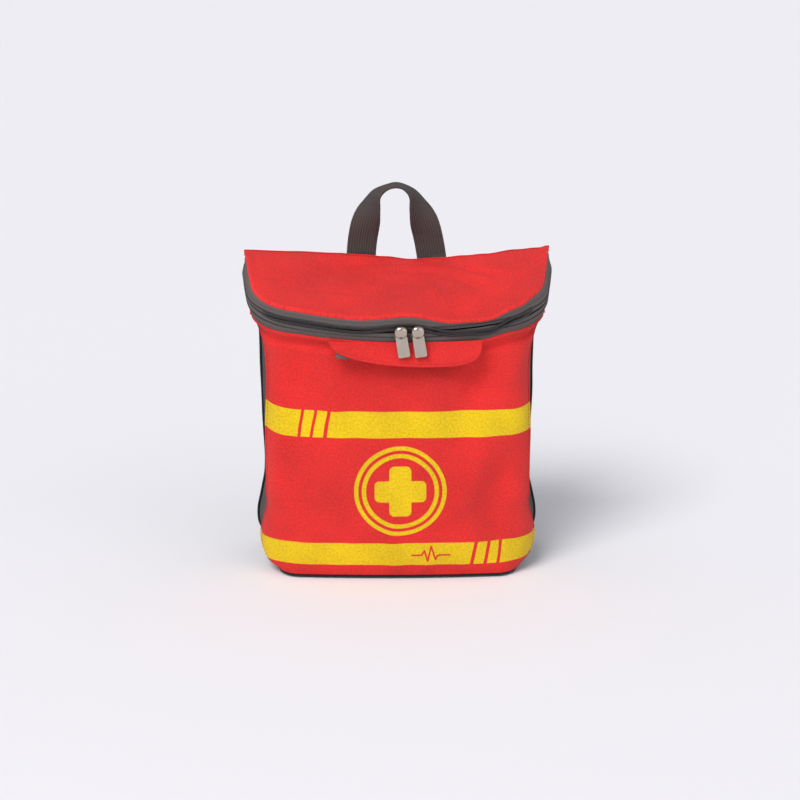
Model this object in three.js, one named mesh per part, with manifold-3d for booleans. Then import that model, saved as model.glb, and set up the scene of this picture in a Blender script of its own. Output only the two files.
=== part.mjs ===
// Small first-aid backpack: a soft zipped shell with a hinged D-shaped lid, two zip sliders that
// meet at the front, a webbing carry handle, a front grab tab and two padded shoulder straps.
// Millimetres, +Z up, the front faces -Y, the origin is the middle of the base on the ground.
import * as THREE from 'three';
import { mergeVertices } from 'three/addons/utils/BufferGeometryUtils.js';
import Module from 'manifold-3d';

const wasm = await Module();
wasm.setup();

// ---- driving dimensions -------------------------------------------------------------------
const GAP = 0.3; // between pieces that touch
const WALL = 2.2; // outer fabric with its backing
const WEB = 1.5; // webbing thickness
const BACK_Y = 55; // outer face of the back panel
const HINGE_Z = 252; // back top edge, where the lid folds
const LID_SLOPE = THREE.MathUtils.degToRad(13); // the lid falls towards the front
const LID_DEPTH = 120; // along the slope, from the fold to the middle of the front edge

// The zip's rim, seen square to the lid: one wide front arc, two corner arcs, splayed sides.
const RIM_RADIUS = 220;
const RIM_HALF_CHORD = 84;
const RIM_CORNER = 60;
const RIM_SPLAY = THREE.MathUtils.degToRad(81.4);
const RIM_HALF_BACK = 130.4;
const RIM_END = 8; // the zip stops this far short of the fold

// Levels under the lid's top face, measured square to the lid.
const LID_THICK = 2.5;
const PARTING = -10.9;
const PARTING_GAP = 1.4;
const TAPE_HEIGHT = 7.4;
const TEETH_HEIGHT = 2.2;
const BODY_TOP = PARTING - PARTING_GAP / 2 - TAPE_HEIGHT - 0.4;

// The shell's plan outlines from the base to the rim. share is the height as a part of the way
// up; the others size the outline, as the rim's constants do.
const OUTLINES = [
  { share: 0.0, halfBack: 108, front: -47, radius: 900, chord: 82, corner: 19, splay: 88 },
  { share: 0.05, halfBack: 118, front: -50, radius: 900, chord: 75, corner: 36, splay: 88 },
  { share: 0.11, halfBack: 119.8, front: -52, radius: 900, chord: 75, corner: 40, splay: 88 },
  { share: 0.18, halfBack: 117, front: -53, radius: 900, chord: 76, corner: 38.5, splay: 88 },
  { share: 0.28, halfBack: 112.8, front: -53, radius: 880, chord: 80, corner: 31, splay: 88 },
  { share: 0.42, halfBack: 114.2, front: -53, radius: 840, chord: 84, corner: 26, splay: 88 },
  { share: 0.55, halfBack: 115, front: -52, radius: 800, chord: 88, corner: 22, splay: 88 },
  { share: 0.86, halfBack: 117.5, front: -49, radius: 420, chord: 89, corner: 23.5, splay: 86 },
];
const SHELL_FOOT = 3.6; // the panels start above the base piping
const STEPS = { side: 3, corner: 5, front: 12, rows: 10 };

const COLOURS = {
  red: 0xe33633,
  grey: 0x5c5654,
  dark: 0x2c2929,
  metal: 0xc9beb0,
  plastic: 0x26262a,
  foam: 0x8f8f92,
};

// ---- mesh helpers -------------------------------------------------------------------------
const v3 = (x, y, z) => new THREE.Vector3(x, y, z);

/** Turns flat lists of points and triangles into a geometry whose faces point outwards. */
function closedGeometry(points, triangles) {
  let volume = 0;
  for (const [a, b, c] of triangles) {
    volume += points[a].dot(v3().crossVectors(points[b], points[c]));
  }
  const turned = volume < 0 ? triangles.map(([a, b, c]) => [a, c, b]) : triangles;
  const geometry = new THREE.BufferGeometry();
  geometry.setAttribute('position', new THREE.Float32BufferAttribute(
    points.flatMap((p) => [p.x, p.y, p.z]), 3));
  geometry.setIndex(turned.flat());
  return geometry;
}

/** A closed solid through a row of sections, each a convex loop of as many points. */
function loft(sections) {
  const count = sections[0].length;
  const triangles = [];
  for (let row = 0; row + 1 < sections.length; row++) {
    for (let i = 0; i < count; i++) {
      const a = row * count + i;
      const b = row * count + (i + 1) % count;
      triangles.push([a, b, b + count], [a, b + count, a + count]);
    }
  }
  const last = (sections.length - 1) * count;
  for (let i = 1; i + 1 < count; i++) {
    triangles.push([0, i + 1, i], [last, last + i, last + i + 1]);
  }
  return closedGeometry(sections.flat(), triangles);
}

/** A closed sheet between two grids of points, outer[row][column] and inner[row][column]. */
function sheetBetween(outer, inner) {
  const rows = outer.length;
  const columns = outer[0].length;
  const at = (side, row, column) => (side * rows + row) * columns + column;
  const triangles = [];
  const quad = (a, b, c, d) => triangles.push([a, b, c], [a, c, d]);
  for (let r = 0; r + 1 < rows; r++) {
    for (let c = 0; c + 1 < columns; c++) {
      quad(at(0, r, c), at(0, r, c + 1), at(0, r + 1, c + 1), at(0, r + 1, c));
      quad(at(1, r, c), at(1, r + 1, c), at(1, r + 1, c + 1), at(1, r, c + 1));
    }
  }
  for (let c = 0; c + 1 < columns; c++) {
    quad(at(0, 0, c), at(1, 0, c), at(1, 0, c + 1), at(0, 0, c + 1));
    quad(at(0, rows - 1, c), at(0, rows - 1, c + 1), at(1, rows - 1, c + 1), at(1, rows - 1, c));
  }
  for (let r = 0; r + 1 < rows; r++) {
    quad(at(0, r, 0), at(0, r + 1, 0), at(1, r + 1, 0), at(1, r, 0));
    quad(at(0, r, columns - 1), at(1, r, columns - 1), at(1, r + 1, columns - 1),
      at(0, r + 1, columns - 1));
  }
  return closedGeometry([...outer.flat(), ...inner.flat()], triangles);
}

/** A flat outline of [x, y] points, pushed out along +Z by depth. */
function plate(outline, depth) {
  const shape = new THREE.Shape(outline.map(([x, y]) => new THREE.Vector2(x, y)));
  return new THREE.ExtrudeGeometry(shape, { depth, bevelEnabled: false });
}

function box(low, high) {
  const geometry = new THREE.BoxGeometry(high[0] - low[0], high[1] - low[1], high[2] - low[2]);
  return geometry.translate(...low.map((value, i) => (value + high[i]) / 2));
}

function toManifold(geometry) {
  const bare = geometry.clone();
  bare.deleteAttribute('normal');
  bare.deleteAttribute('uv');
  const merged = mergeVertices(bare, 1e-4);
  return new wasm.Manifold(new wasm.Mesh({
    numProp: 3,
    vertProperties: new Float32Array(merged.attributes.position.array),
    triVerts: new Uint32Array(merged.index.array),
  }));
}

/** Joins the first list of geometries and cuts the second list from the result. */
function combine(joined, cut = []) {
  let solid = toManifold(joined[0]);
  for (const piece of joined.slice(1)) solid = solid.add(toManifold(piece));
  for (const piece of cut) solid = solid.subtract(toManifold(piece));
  const mesh = solid.getMesh();
  const geometry = new THREE.BufferGeometry();
  geometry.setAttribute('position', new THREE.BufferAttribute(mesh.vertProperties, 3));
  geometry.setIndex(new THREE.BufferAttribute(mesh.triVerts, 1));
  return geometry;
}

const part = new THREE.Group();

function add(name, geometry, colour, group = part, look = {}) {
  const material = new THREE.MeshStandardMaterial({ color: colour, roughness: 0.8, ...look });
  const mesh = new THREE.Mesh(geometry, material);
  mesh.name = name;
  group.add(mesh);
  return mesh;
}

// ---- the lid's own frame: x across, u down the slope from the fold, w square to the lid ----
const SIN = Math.sin(LID_SLOPE);
const COS = Math.cos(LID_SLOPE);
const onLid = (x, u, w) => v3(x, BACK_Y - u * COS - w * SIN, HINGE_Z - u * SIN + w * COS);

/**
 * Half of an outline, from its back end to the middle of the front: points with outward normals.
 * depth is the distance from the back line (0) to the front, measured forwards.
 */
function halfOutline({ halfBack, depth, radius, chord, corner, splay, start }) {
  const turn = Math.asin(chord / radius);
  const cornerEnd = {
    x: chord + corner * (Math.sin(splay) - Math.sin(turn)),
    u: depth - radius * (1 - Math.cos(turn)) - corner * (Math.cos(turn) - Math.cos(splay)),
  };
  const points = [];
  const side = Math.atan2(cornerEnd.x - halfBack, cornerEnd.u);
  for (let i = 0; i < STEPS.side; i++) {
    const u = THREE.MathUtils.lerp(start, cornerEnd.u, i / STEPS.side);
    const x = halfBack + (cornerEnd.x - halfBack) * u / cornerEnd.u;
    points.push({ x, u, nx: Math.cos(side), nu: -Math.sin(side) });
  }
  for (let i = 0; i < STEPS.corner; i++) {
    const angle = THREE.MathUtils.lerp(splay, turn, i / STEPS.corner);
    points.push({
      x: chord + corner * (Math.sin(angle) - Math.sin(turn)),
      u: depth - radius * (1 - Math.cos(turn)) - corner * (Math.cos(turn) - Math.cos(angle)),
      nx: Math.sin(angle),
      nu: Math.cos(angle),
    });
  }
  const half = STEPS.front / 2;
  for (let i = 0; i <= half; i++) {
    const angle = turn * (1 - i / half);
    points.push({
      x: radius * Math.sin(angle),
      u: depth - radius * (1 - Math.cos(angle)),
      nx: Math.sin(angle),
      nu: Math.cos(angle),
    });
  }
  return points;
}

/** The half outline and its mirror image, running from -X round the front to +X. */
function wholeOutline(options) {
  const right = halfOutline(options);
  const left = right.slice(0, -1).map((p) => ({ ...p, x: -p.x, nx: -p.nx }));
  return [...left, ...right.reverse()];
}

const RIM = {
  halfBack: RIM_HALF_BACK,
  depth: LID_DEPTH,
  radius: RIM_RADIUS,
  chord: RIM_HALF_CHORD,
  corner: RIM_CORNER,
  splay: RIM_SPLAY,
};
const rim = wholeOutline({ ...RIM, start: RIM_END });

/** A strip that follows the rim, between two outward offsets and two levels. */
function rimStrip(inside, outside, low, high) {
  return loft(rim.map((p) => [[inside, low], [outside, low], [outside, high], [inside, high]]
    .map(([offset, w]) => onLid(p.x + offset * p.nx, p.u + offset * p.nu, w))));
}

// ---- shell --------------------------------------------------------------------------------
/** Columns of the shell's surface: column[share] gives a point, from the foot to the rim. */
const shellTop = wholeOutline({ ...RIM, start: RIM_END - 0.6 })
  .map((p) => onLid(p.x - 0.3 * p.nx, p.u - 0.3 * p.nu, BODY_TOP));
const shellKeys = OUTLINES.map((o) => wholeOutline({
  ...o,
  depth: BACK_Y - WALL - 0.6 - o.front,
  splay: THREE.MathUtils.degToRad(o.splay),
  start: 0,
}).map((p) => ({ x: p.x, y: BACK_Y - WALL - 0.6 - p.u })));
const shares = [...OUTLINES.map((o) => o.share), 1];

/** A smooth curve through the key values at the key shares. */
function through(values, share) {
  let i = 0;
  while (i < shares.length - 2 && share > shares[i + 1]) i++;
  const slope = (k) => {
    const a = Math.max(k - 1, 0);
    const b = Math.min(k + 1, values.length - 1);
    return (values[b] - values[a]) / (shares[b] - shares[a]);
  };
  const span = shares[i + 1] - shares[i];
  const t = (share - shares[i]) / span;
  const h = t * t * (3 - 2 * t);
  return values[i] * (1 - h) + values[i + 1] * h
    + span * (t * (1 - t) ** 2 * slope(i) - t * t * (1 - t) * slope(i + 1));
}

function shellPoint(column, share) {
  const top = shellTop[column];
  const x = through([...shellKeys.map((key) => key[column].x), top.x], share);
  const y = through([...shellKeys.map((key) => key[column].y), top.y], share);
  return v3(x, y, THREE.MathUtils.lerp(SHELL_FOOT, top.z, share));
}

/** The shell's surface pushed inwards, square to itself. */
function shellInside(column, share, depth) {
  const last = shellTop.length - 1;
  const step = 0.01;
  const across = shellPoint(Math.min(column + 1, last), share)
    .sub(shellPoint(Math.max(column - 1, 0), share));
  const up = shellPoint(column, Math.min(share + step, 1))
    .sub(shellPoint(column, Math.max(share - step, 0)));
  const out = across.cross(up).setZ(0).normalize();
  return shellPoint(column, share).addScaledVector(out, -depth);
}

const rowShares = Array.from({ length: STEPS.rows + 1 }, (_, i) => {
  const t = i / STEPS.rows;
  return t ** 1.25; // closer rows where the base rounds off
});
const SEAM_LEFT = STEPS.side;
const SEAM_RIGHT = shellTop.length - 1 - STEPS.side;

/** A panel of the shell between two columns, near is its outer depth and far its inner one. */
function shellPanel(from, to, near, far, trim = 0) {
  const layer = (depth) => rowShares.map((share) => {
    const row = [];
    for (let column = from; column <= to; column++) row.push(shellInside(column, share, depth));
    return row;
  });
  const outer = layer(near);
  const inner = layer(far);
  // a seam's two edges stand a hair apart
  for (const grid of [outer, inner]) {
    for (const row of grid) {
      const towards = (i, j) => row[i].addScaledVector(
        v3().subVectors(row[j], row[i]).normalize(), trim);
      towards(0, 1);
      towards(row.length - 1, row.length - 2);
    }
  }
  return sheetBetween(outer, inner);
}

function buildPanels() {
  add('front_panel', shellPanel(SEAM_LEFT, SEAM_RIGHT, 0, WALL, GAP / 2), COLOURS.red);
  add('side_gusset_left', shellPanel(0, SEAM_LEFT, 0, WALL, GAP / 2), COLOURS.grey);
  add('side_gusset_right', shellPanel(SEAM_RIGHT, shellTop.length - 1, 0, WALL, GAP / 2),
    COLOURS.grey);
  add('lining', shellPanel(0, shellTop.length - 1, WALL + 0.6, WALL + 1.4, 2.4), COLOURS.foam);
}

/** Half width of the back at a height. */
function backHalfWidth(z) {
  const top = shellTop[0].z;
  if (z >= top) return RIM_HALF_BACK;
  return Math.abs(shellPoint(0, Math.max(0, (z - SHELL_FOOT) / (top - SHELL_FOOT))).x);
}

/** The back's outline in X and Z, pulled in by an edge margin. */
function backOutline(low, high, margin) {
  const heights = Array.from({ length: 14 }, (_, i) => low + (high - low) * (i / 13) ** 1.3);
  const right = heights.map((z) => [backHalfWidth(z) - margin, z]);
  return [...right, ...right.map(([x, z]) => [-x, z]).reverse()];
}

function buildBack() {
  const upright = (geometry, y) => geometry.rotateX(Math.PI / 2).translate(0, y, 0);
  const panelTop = HINGE_Z - 3.4;
  const panel = upright(plate(backOutline(SHELL_FOOT, panelTop, 0.2), WALL), BACK_Y);
  add('back_panel', panel, COLOURS.red);
  const foam = upright(plate(backOutline(12, 218, 10), 4), BACK_Y - WALL - GAP);
  add('back_foam', foam, COLOURS.foam);
}

// ---- base and piping ----------------------------------------------------------------------
const BASE_PIPE = 1.6; // radius of the piping cord

/** The foot's outline pulled in by a margin, as [x, y] points that run round from -X. */
function footOutline(margin) {
  return shellTop.map((_, column) => {
    const p = shellInside(column, 0, margin);
    return [p.x, Math.min(p.y, BACK_Y - margin)];
  });
}

function buildBase() {
  const outline = footOutline(5);
  add('base_panel', plate(outline, 2.4), COLOURS.red);
  const board = footOutline(9);
  add('base_board', plate(board, 2.4).translate(0, 0, 2.8), COLOURS.plastic);
}

/** A round cord along a row of points. */
function cord(points, radius, sides = 6) {
  const curve = new THREE.CatmullRomCurve3(points);
  const steps = points.length - 1;
  const frames = curve.computeFrenetFrames(steps, false);
  const sections = Array.from({ length: steps + 1 }, (_, i) => {
    const centre = curve.getPointAt(i / steps);
    return Array.from({ length: sides }, (_, k) => {
      const angle = 2 * Math.PI * (k + 0.5) / sides;
      return centre.clone()
        .addScaledVector(frames.normals[i], radius * Math.cos(angle))
        .addScaledVector(frames.binormals[i], radius * Math.sin(angle));
    });
  });
  return loft(sections);
}

function buildPiping() {
  const radius = BASE_PIPE;
  for (const [name, side] of [['left', -1], ['right', 1]]) {
    const points = Array.from({ length: 20 }, (_, i) => {
      const z = THREE.MathUtils.lerp(6, HINGE_Z - 8, (i / 19) ** 1.4);
      return v3(side * (backHalfWidth(z) + radius + 1.2), BACK_Y - 1.4, z);
    });
    add(`piping_${name}`, cord(points, radius), COLOURS.dark);
  }
  const foot = shellTop.map((_, column) => shellInside(column, 0, 1.4).setZ(radius + 0.1));
  add('base_piping', cord(foot, radius * 0.95), COLOURS.dark);
}

// ---- lid and zip --------------------------------------------------------------------------
/** A D-shaped plate in the lid's frame, made as an extruded outline. */
function lidSolid(inset, start, low, high) {
  const outline = wholeOutline({ ...RIM, start })
    .map((p) => [p.x - inset * p.nx, p.u - inset * p.nu]);
  const geometry = plate(outline, high - low);
  const position = geometry.attributes.position;
  for (let i = 0; i < position.count; i++) {
    const p = onLid(position.getX(i), position.getY(i), low + position.getZ(i));
    position.setXYZ(i, p.x, p.y, p.z);
  }
  // the lid's frame is left-handed, so the faces are turned round
  const order = geometry.index ? geometry.index.array : position.array.map((_, i) => i);
  const count = geometry.index ? order.length : position.count;
  const turned = [];
  for (let i = 0; i < count; i += 3) turned.push(order[i], order[i + 2], order[i + 1]);
  geometry.setIndex(turned);
  return geometry;
}

const UPPER = PARTING + PARTING_GAP / 2;
const LOWER = PARTING - PARTING_GAP / 2;
const TAPE = [-0.2, 1.0]; // offsets from the rim
const TEETH = [1.3, 2.9];

function buildLid(lid) {
  add('lid_panel', lidSolid(0, 1, -LID_THICK, 0), COLOURS.red, lid);
  add('lid_lining', lidSolid(3, 4, -LID_THICK - 1.6, -LID_THICK - GAP), COLOURS.foam, lid);
  add('zip_tape_upper', rimStrip(...TAPE, UPPER, UPPER + TAPE_HEIGHT), COLOURS.grey, lid);
  add('zip_teeth_upper', rimStrip(...TEETH, UPPER, UPPER + TEETH_HEIGHT), COLOURS.dark, lid);
}

function buildLowerZip() {
  add('zip_tape_lower', rimStrip(...TAPE, LOWER - TAPE_HEIGHT, LOWER), COLOURS.grey);
  add('zip_teeth_lower', rimStrip(...TEETH, LOWER - TEETH_HEIGHT, LOWER), COLOURS.dark);
}

// ---- sliders and pulls --------------------------------------------------------------------
const SLIDER = { length: 12.4, height: 9, plate: 1.2, outside: 3.5, inside: -1.6, neck: 0.8 };
const SLIDER_AT = { left: 1.8, right: 15.0 }; // along the front arc from its middle
const BRIDGE = { inner: 2.2, outer: 3.4, width: 3.4, rise: 1.1 };
const PULL = { width: 8.2, length: 23, thick: 1.6, bar: 0.7, lean: 9 };
const ARC_CENTRE_U = LID_DEPTH - RIM_RADIUS;

/** A slider at the middle of the front arc, in x, outward offset and level. */
function sliderGeometry() {
  const half = SLIDER.length / 2;
  const face = SLIDER.outside + SLIDER.plate;
  const low = -SLIDER.height / 2;
  const front = box([-half, SLIDER.outside, low], [half, face, -low]);
  const back = box([-half, SLIDER.inside - SLIDER.plate, low], [half, SLIDER.inside, -low]);
  const neck = box([-2.5, SLIDER.inside - 0.2, -SLIDER.neck / 2],
    [2.5, SLIDER.outside + 0.2, SLIDER.neck / 2]);
  const arch = new THREE.Shape();
  arch.moveTo(-BRIDGE.outer, -0.2);
  arch.lineTo(-BRIDGE.outer, BRIDGE.rise);
  arch.absarc(0, BRIDGE.rise, BRIDGE.outer, Math.PI, 0, true);
  arch.lineTo(BRIDGE.outer, -0.2);
  arch.lineTo(BRIDGE.inner, -0.2);
  arch.lineTo(BRIDGE.inner, BRIDGE.rise);
  arch.absarc(0, BRIDGE.rise, BRIDGE.inner, 0, Math.PI, false);
  arch.lineTo(-BRIDGE.inner, -0.2);
  const bridge = new THREE.ExtrudeGeometry(arch, {
    depth: BRIDGE.width, bevelEnabled: false, curveSegments: 6,
  });
  // from the drawing's x, y and depth to level, offset and x
  bridge.applyMatrix4(new THREE.Matrix4().makeBasis(v3(0, 0, 1), v3(0, 1, 0), v3(-1, 0, 0)));
  bridge.translate(BRIDGE.width / 2, face, 0);
  return combine([front, back, neck, bridge]);
}

/** Where a slider's own axes lie: x along the arc, y outwards, z square to the lid. */
function sliderFrame(along) {
  const angle = along / RIM_RADIUS;
  const out = v3(Math.sin(angle), -COS * Math.cos(angle), -SIN * Math.cos(angle));
  const level = v3(0, -SIN, COS);
  const x = v3().crossVectors(out, level);
  const u = ARC_CENTRE_U + RIM_RADIUS * Math.cos(angle);
  const origin = onLid(RIM_RADIUS * Math.sin(angle), u, PARTING);
  return new THREE.Matrix4().makeBasis(x, out, level).setPosition(origin);
}

/** A pull that hangs from its bar at the origin: x across, y outwards, z up. */
function pullGeometry() {
  const half = PULL.width / 2;
  const outline = new THREE.Shape();
  const round = 1.4;
  outline.moveTo(-half, PULL.bar);
  outline.lineTo(-half, -PULL.length + round);
  outline.absarc(-half + round, -PULL.length + round, round, Math.PI, 1.5 * Math.PI, false);
  outline.absarc(half - round, -PULL.length + round, round, 1.5 * Math.PI, 2 * Math.PI, false);
  outline.lineTo(half, PULL.bar);
  const hole = new THREE.Path();
  const side = 2.3;
  hole.moveTo(-side, -PULL.bar);
  hole.lineTo(side, -PULL.bar);
  hole.lineTo(side, -5.4);
  hole.lineTo(-side, -5.4);
  outline.holes.push(hole);
  const geometry = new THREE.ExtrudeGeometry(outline, {
    depth: PULL.thick, bevelEnabled: false, curveSegments: 3,
  });
  return geometry.translate(0, 0, -PULL.thick / 2).rotateX(Math.PI / 2);
}

function buildSliders() {
  const metal = { roughness: 0.25, metalness: 1 };
  for (const side of ['left', 'right']) {
    const frame = sliderFrame(SLIDER_AT[side]);
    add(`slider_${side}`, sliderGeometry().applyMatrix4(frame), COLOURS.metal, part, metal);
    const pivot = v3(0, SLIDER.outside + SLIDER.plate + BRIDGE.rise, 0).applyMatrix4(frame);
    const pull = pullGeometry().rotateY(-THREE.MathUtils.degToRad(PULL.lean));
    pull.translate(...pivot.toArray());
    add(`pull_${side}`, pull, COLOURS.metal, part, metal);
  }
}

// ---- front tab ----------------------------------------------------------------------------
const TAB = {
  middle: 7.5, halfWidth: 60.5, height: 21, thick: 1.6, top: 205.6, y: -59.5, radius: 300,
};

/** A curved flap under the zip: its plan follows a wide arc. */
function tabSheet(half, near, far, bottom) {
  const columns = 12;
  const grid = (depth) => [0, 0.5, 1].map((down) => Array.from({ length: columns + 1 }, (_, i) => {
    const across = THREE.MathUtils.lerp(-half, half, i / columns);
    const x = TAB.middle + across;
    const y = TAB.y + TAB.radius - Math.sqrt(TAB.radius ** 2 - x * x);
    return v3(x, y + depth, TAB.top - down * bottom(across));
  }));
  return sheetBetween(grid(near), grid(far));
}

function buildTab() {
  const round = (across) => {
    const edge = Math.min(1, (TAB.halfWidth + 0.5 - Math.abs(across)) / 26);
    return TAB.height * (0.45 + 0.55 * Math.sqrt(1 - (1 - edge) ** 2));
  };
  const half = TAB.thick / 2;
  add('front_tab', tabSheet(TAB.halfWidth, -half, half, round), COLOURS.red);
  add('tab_backing', tabSheet(TAB.halfWidth - 3, half + GAP, half + GAP + 0.9,
    () => TAB.height * 0.7), COLOURS.grey);
}

// ---- carry handle -------------------------------------------------------------------------
const HANDLE = { half: 30.5, width: 25, foot: 247, y: 58, height: 70 };

/** A strip of webbing through stations of centre, width direction and face direction. */
function strip(stations, width, thick) {
  return loft(stations.map(({ centre, across, face }) => [
    [-1, -1], [1, -1], [1, 1], [-1, 1],
  ].map(([a, f]) => centre.clone()
    .addScaledVector(across, a * width / 2)
    .addScaledVector(face, f * thick / 2))));
}

function buildHandle() {
  const steps = 20;
  const rise = HANDLE.height - WEB / 2;
  const lean = 0.79; // how far the legs lean in on their way up
  const control = rise * 4 / 3;
  const path = new THREE.CubicBezierCurve3(
    v3(-HANDLE.half, HANDLE.y, HANDLE.foot),
    v3(-HANDLE.half * lean, HANDLE.y, HANDLE.foot + control),
    v3(HANDLE.half * lean, HANDLE.y, HANDLE.foot + control),
    v3(HANDLE.half, HANDLE.y, HANDLE.foot),
  );
  const stations = Array.from({ length: steps + 1 }, (_, i) => {
    const t = i / steps;
    const centre = path.getPointAt(t);
    const along = path.getTangentAt(t);
    // the webbing lies flat on the back at its feet and turns edge-on at the top of the arch
    const twist = THREE.MathUtils.smoothstep(1 - Math.abs(2 * t - 1), 0.3, 0.95) * Math.PI / 2;
    const flat = v3().crossVectors(along, v3(0, 1, 0)).normalize();
    const across = flat.clone().multiplyScalar(Math.cos(twist))
      .addScaledVector(v3(0, 1, 0), Math.sin(twist));
    return { centre, across, face: v3().crossVectors(along, across) };
  });
  add('carry_handle', strip(stations, HANDLE.width, WEB), COLOURS.grey);
  const patch = box([-58, BACK_Y + GAP, 222], [58, BACK_Y + GAP + 1.2, HANDLE.foot - 0.8]);
  add('strap_patch', patch, COLOURS.grey);
}

// ---- shoulder straps ----------------------------------------------------------------------
const STRAP = {
  half: 36, // the top ends' distance from the middle
  spread: 12, // degrees that each strap runs outwards
  top: 236,
  pad: { width: 44, thick: 8 },
  web: 20,
  bow: 14, // degrees between the lower webbing and the back
  foot: [59.4, -212], // lower end, as y and height under the top ends
  lock: 60, // distance of the ladder lock from the foot, along the webbing
  padFrom: 79,
  padTo: 164,
};
const bow = THREE.MathUtils.degToRad(STRAP.bow);
const UP = v3(0, Math.sin(bow), Math.cos(bow)); // up along the lower webbing
const OUT = v3(0, Math.cos(bow), -Math.sin(bow)); // square to it, away from the back
const ACROSS = v3(1, 0, 0);
const onStrap = (along, out = 0, x = 0) => v3(x, STRAP.foot[0], STRAP.foot[1])
  .addScaledVector(UP, along).addScaledVector(OUT, out);

function straightStrip(from, to, out, width, thick) {
  return strip([from, to].map((along) => ({
    centre: onStrap(along, out), across: ACROSS, face: OUT,
  })), width, thick);
}

/** The padded upper part: straight over the ladder lock, then over to the back panel. */
function padGeometry() {
  const straight = onStrap(STRAP.padTo);
  const top = v3(0, BACK_Y + 1.5 + STRAP.pad.thick / 2 + 1.6, 0);
  const curve = new THREE.CubicBezierCurve3(straight,
    straight.clone().addScaledVector(UP, 34),
    top.clone().add(v3(0, 26, -3)), top);
  const centres = [0, 0.5, 1].map((t) => onStrap(
    THREE.MathUtils.lerp(STRAP.padFrom, STRAP.padTo, t)));
  centres.push(...curve.getPoints(9).slice(1));
  const stations = centres.map((centre, i) => {
    const from = centres[Math.max(i - 1, 0)];
    const to = centres[Math.min(i + 1, centres.length - 1)];
    const along = i < 3 ? UP : v3().subVectors(to, from).normalize();
    return { centre, face: v3().crossVectors(along, ACROSS).normalize() };
  });
  const { width, thick } = STRAP.pad;
  return loft(stations.map(({ centre, face }) => [
    [-1, -0.4], [-0.9, -1], [0.9, -1], [1, -0.4], [1, 0.4], [0.9, 1], [-0.9, 1], [-1, 0.4],
  ].map(([a, f]) => centre.clone()
    .addScaledVector(ACROSS, a * width / 2)
    .addScaledVector(face, f * thick / 2))));
}

/** A bar of the ladder lock: ranges across, along the webbing and outwards. */
function lockBar(x, along, out) {
  const low = [x[0], out[0], along[0]];
  const high = [x[1], out[1], along[1]];
  return box(low, high);
}

/** Ladder lock: two rails and three bars, with the webbing between the bars. */
function ladderLock() {
  const rail = [STRAP.web / 2 + 0.8, STRAP.web / 2 + 3.8];
  const bars = [
    lockBar([-rail[1], -rail[0]], [-13, 13], [-3.4, 3.6]),
    lockBar([rail[0], rail[1]], [-13, 13], [-3.4, 3.6]),
    lockBar([-rail[1], rail[1]], [9.5, 13], [1.2, 3.6]),
    lockBar([-rail[1], rail[1]], [-1.6, 1.6], [-3.4, -1.2]),
    lockBar([-rail[1], rail[1]], [-13, -9.5], [1.2, 3.6]),
  ];
  const frame = new THREE.Matrix4().makeBasis(ACROSS, OUT, UP);
  return combine(bars).applyMatrix4(frame.setPosition(onStrap(STRAP.lock)));
}

function buildStraps() {
  for (const [name, side] of [['left', -1], ['right', 1]]) {
    const group = new THREE.Group();
    group.position.set(side * STRAP.half, 0, STRAP.top);
    group.rotation.y = -side * THREE.MathUtils.degToRad(STRAP.spread);
    part.add(group);
    add(`strap_pad_${name}`, padGeometry(), COLOURS.grey, group);
    const webbing = straightStrip(0, STRAP.lock + 6, 0, STRAP.web, WEB);
    add(`strap_webbing_${name}`, webbing, COLOURS.dark, group);
    add(`ladder_lock_${name}`, ladderLock(), COLOURS.plastic, group, { roughness: 0.4 });
    const outside = STRAP.pad.thick / 2 + GAP + WEB / 2;
    const loop = straightStrip(STRAP.lock + 8, STRAP.lock + 56, outside, STRAP.web, WEB);
    add(`strap_loop_${name}`, loop, COLOURS.dark, group);
    const tail = straightStrip(STRAP.lock - 44, STRAP.lock + 3, outside, STRAP.web, WEB);
    add(`strap_tail_${name}`, tail, COLOURS.dark, group);
    const anchor = plate([[-17, -14], [17, -14], [11, 16], [-11, 16]], 1.6)
      .rotateX(Math.PI / 2).translate(0, BACK_Y + GAP + 1.6, STRAP.foot[1] + 2);
    add(`strap_anchor_${name}`, anchor, COLOURS.red, group);
  }
}

const lid = new THREE.Group();
part.add(lid);
buildPanels();
buildBack();
buildBase();
buildPiping();
buildLid(lid);
buildLowerZip();
buildSliders();
buildTab();
buildHandle();
buildStraps();

export default part;
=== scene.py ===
"""Small first-aid backpack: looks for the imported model. Lengths here are millimetres, and
meshes are made in metres."""
import contextlib
import math

import bmesh
import bpy
import numpy as np
from mathutils import Matrix, Vector


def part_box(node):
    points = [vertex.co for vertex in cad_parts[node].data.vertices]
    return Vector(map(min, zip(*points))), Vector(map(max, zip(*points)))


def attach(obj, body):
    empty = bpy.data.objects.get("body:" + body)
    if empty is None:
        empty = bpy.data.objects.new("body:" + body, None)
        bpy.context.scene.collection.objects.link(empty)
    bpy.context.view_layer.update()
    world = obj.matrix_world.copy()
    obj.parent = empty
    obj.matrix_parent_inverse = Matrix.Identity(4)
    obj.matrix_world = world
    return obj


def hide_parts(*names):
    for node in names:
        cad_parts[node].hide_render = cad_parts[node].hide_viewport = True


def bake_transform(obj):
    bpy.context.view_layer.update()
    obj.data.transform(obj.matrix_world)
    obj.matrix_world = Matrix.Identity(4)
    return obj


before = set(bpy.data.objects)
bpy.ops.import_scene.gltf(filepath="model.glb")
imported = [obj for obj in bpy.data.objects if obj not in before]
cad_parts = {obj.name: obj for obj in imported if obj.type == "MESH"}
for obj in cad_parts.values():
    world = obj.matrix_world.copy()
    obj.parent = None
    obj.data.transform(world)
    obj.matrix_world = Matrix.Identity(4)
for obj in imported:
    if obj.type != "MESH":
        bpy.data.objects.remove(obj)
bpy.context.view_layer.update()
MM = 0.001


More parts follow.
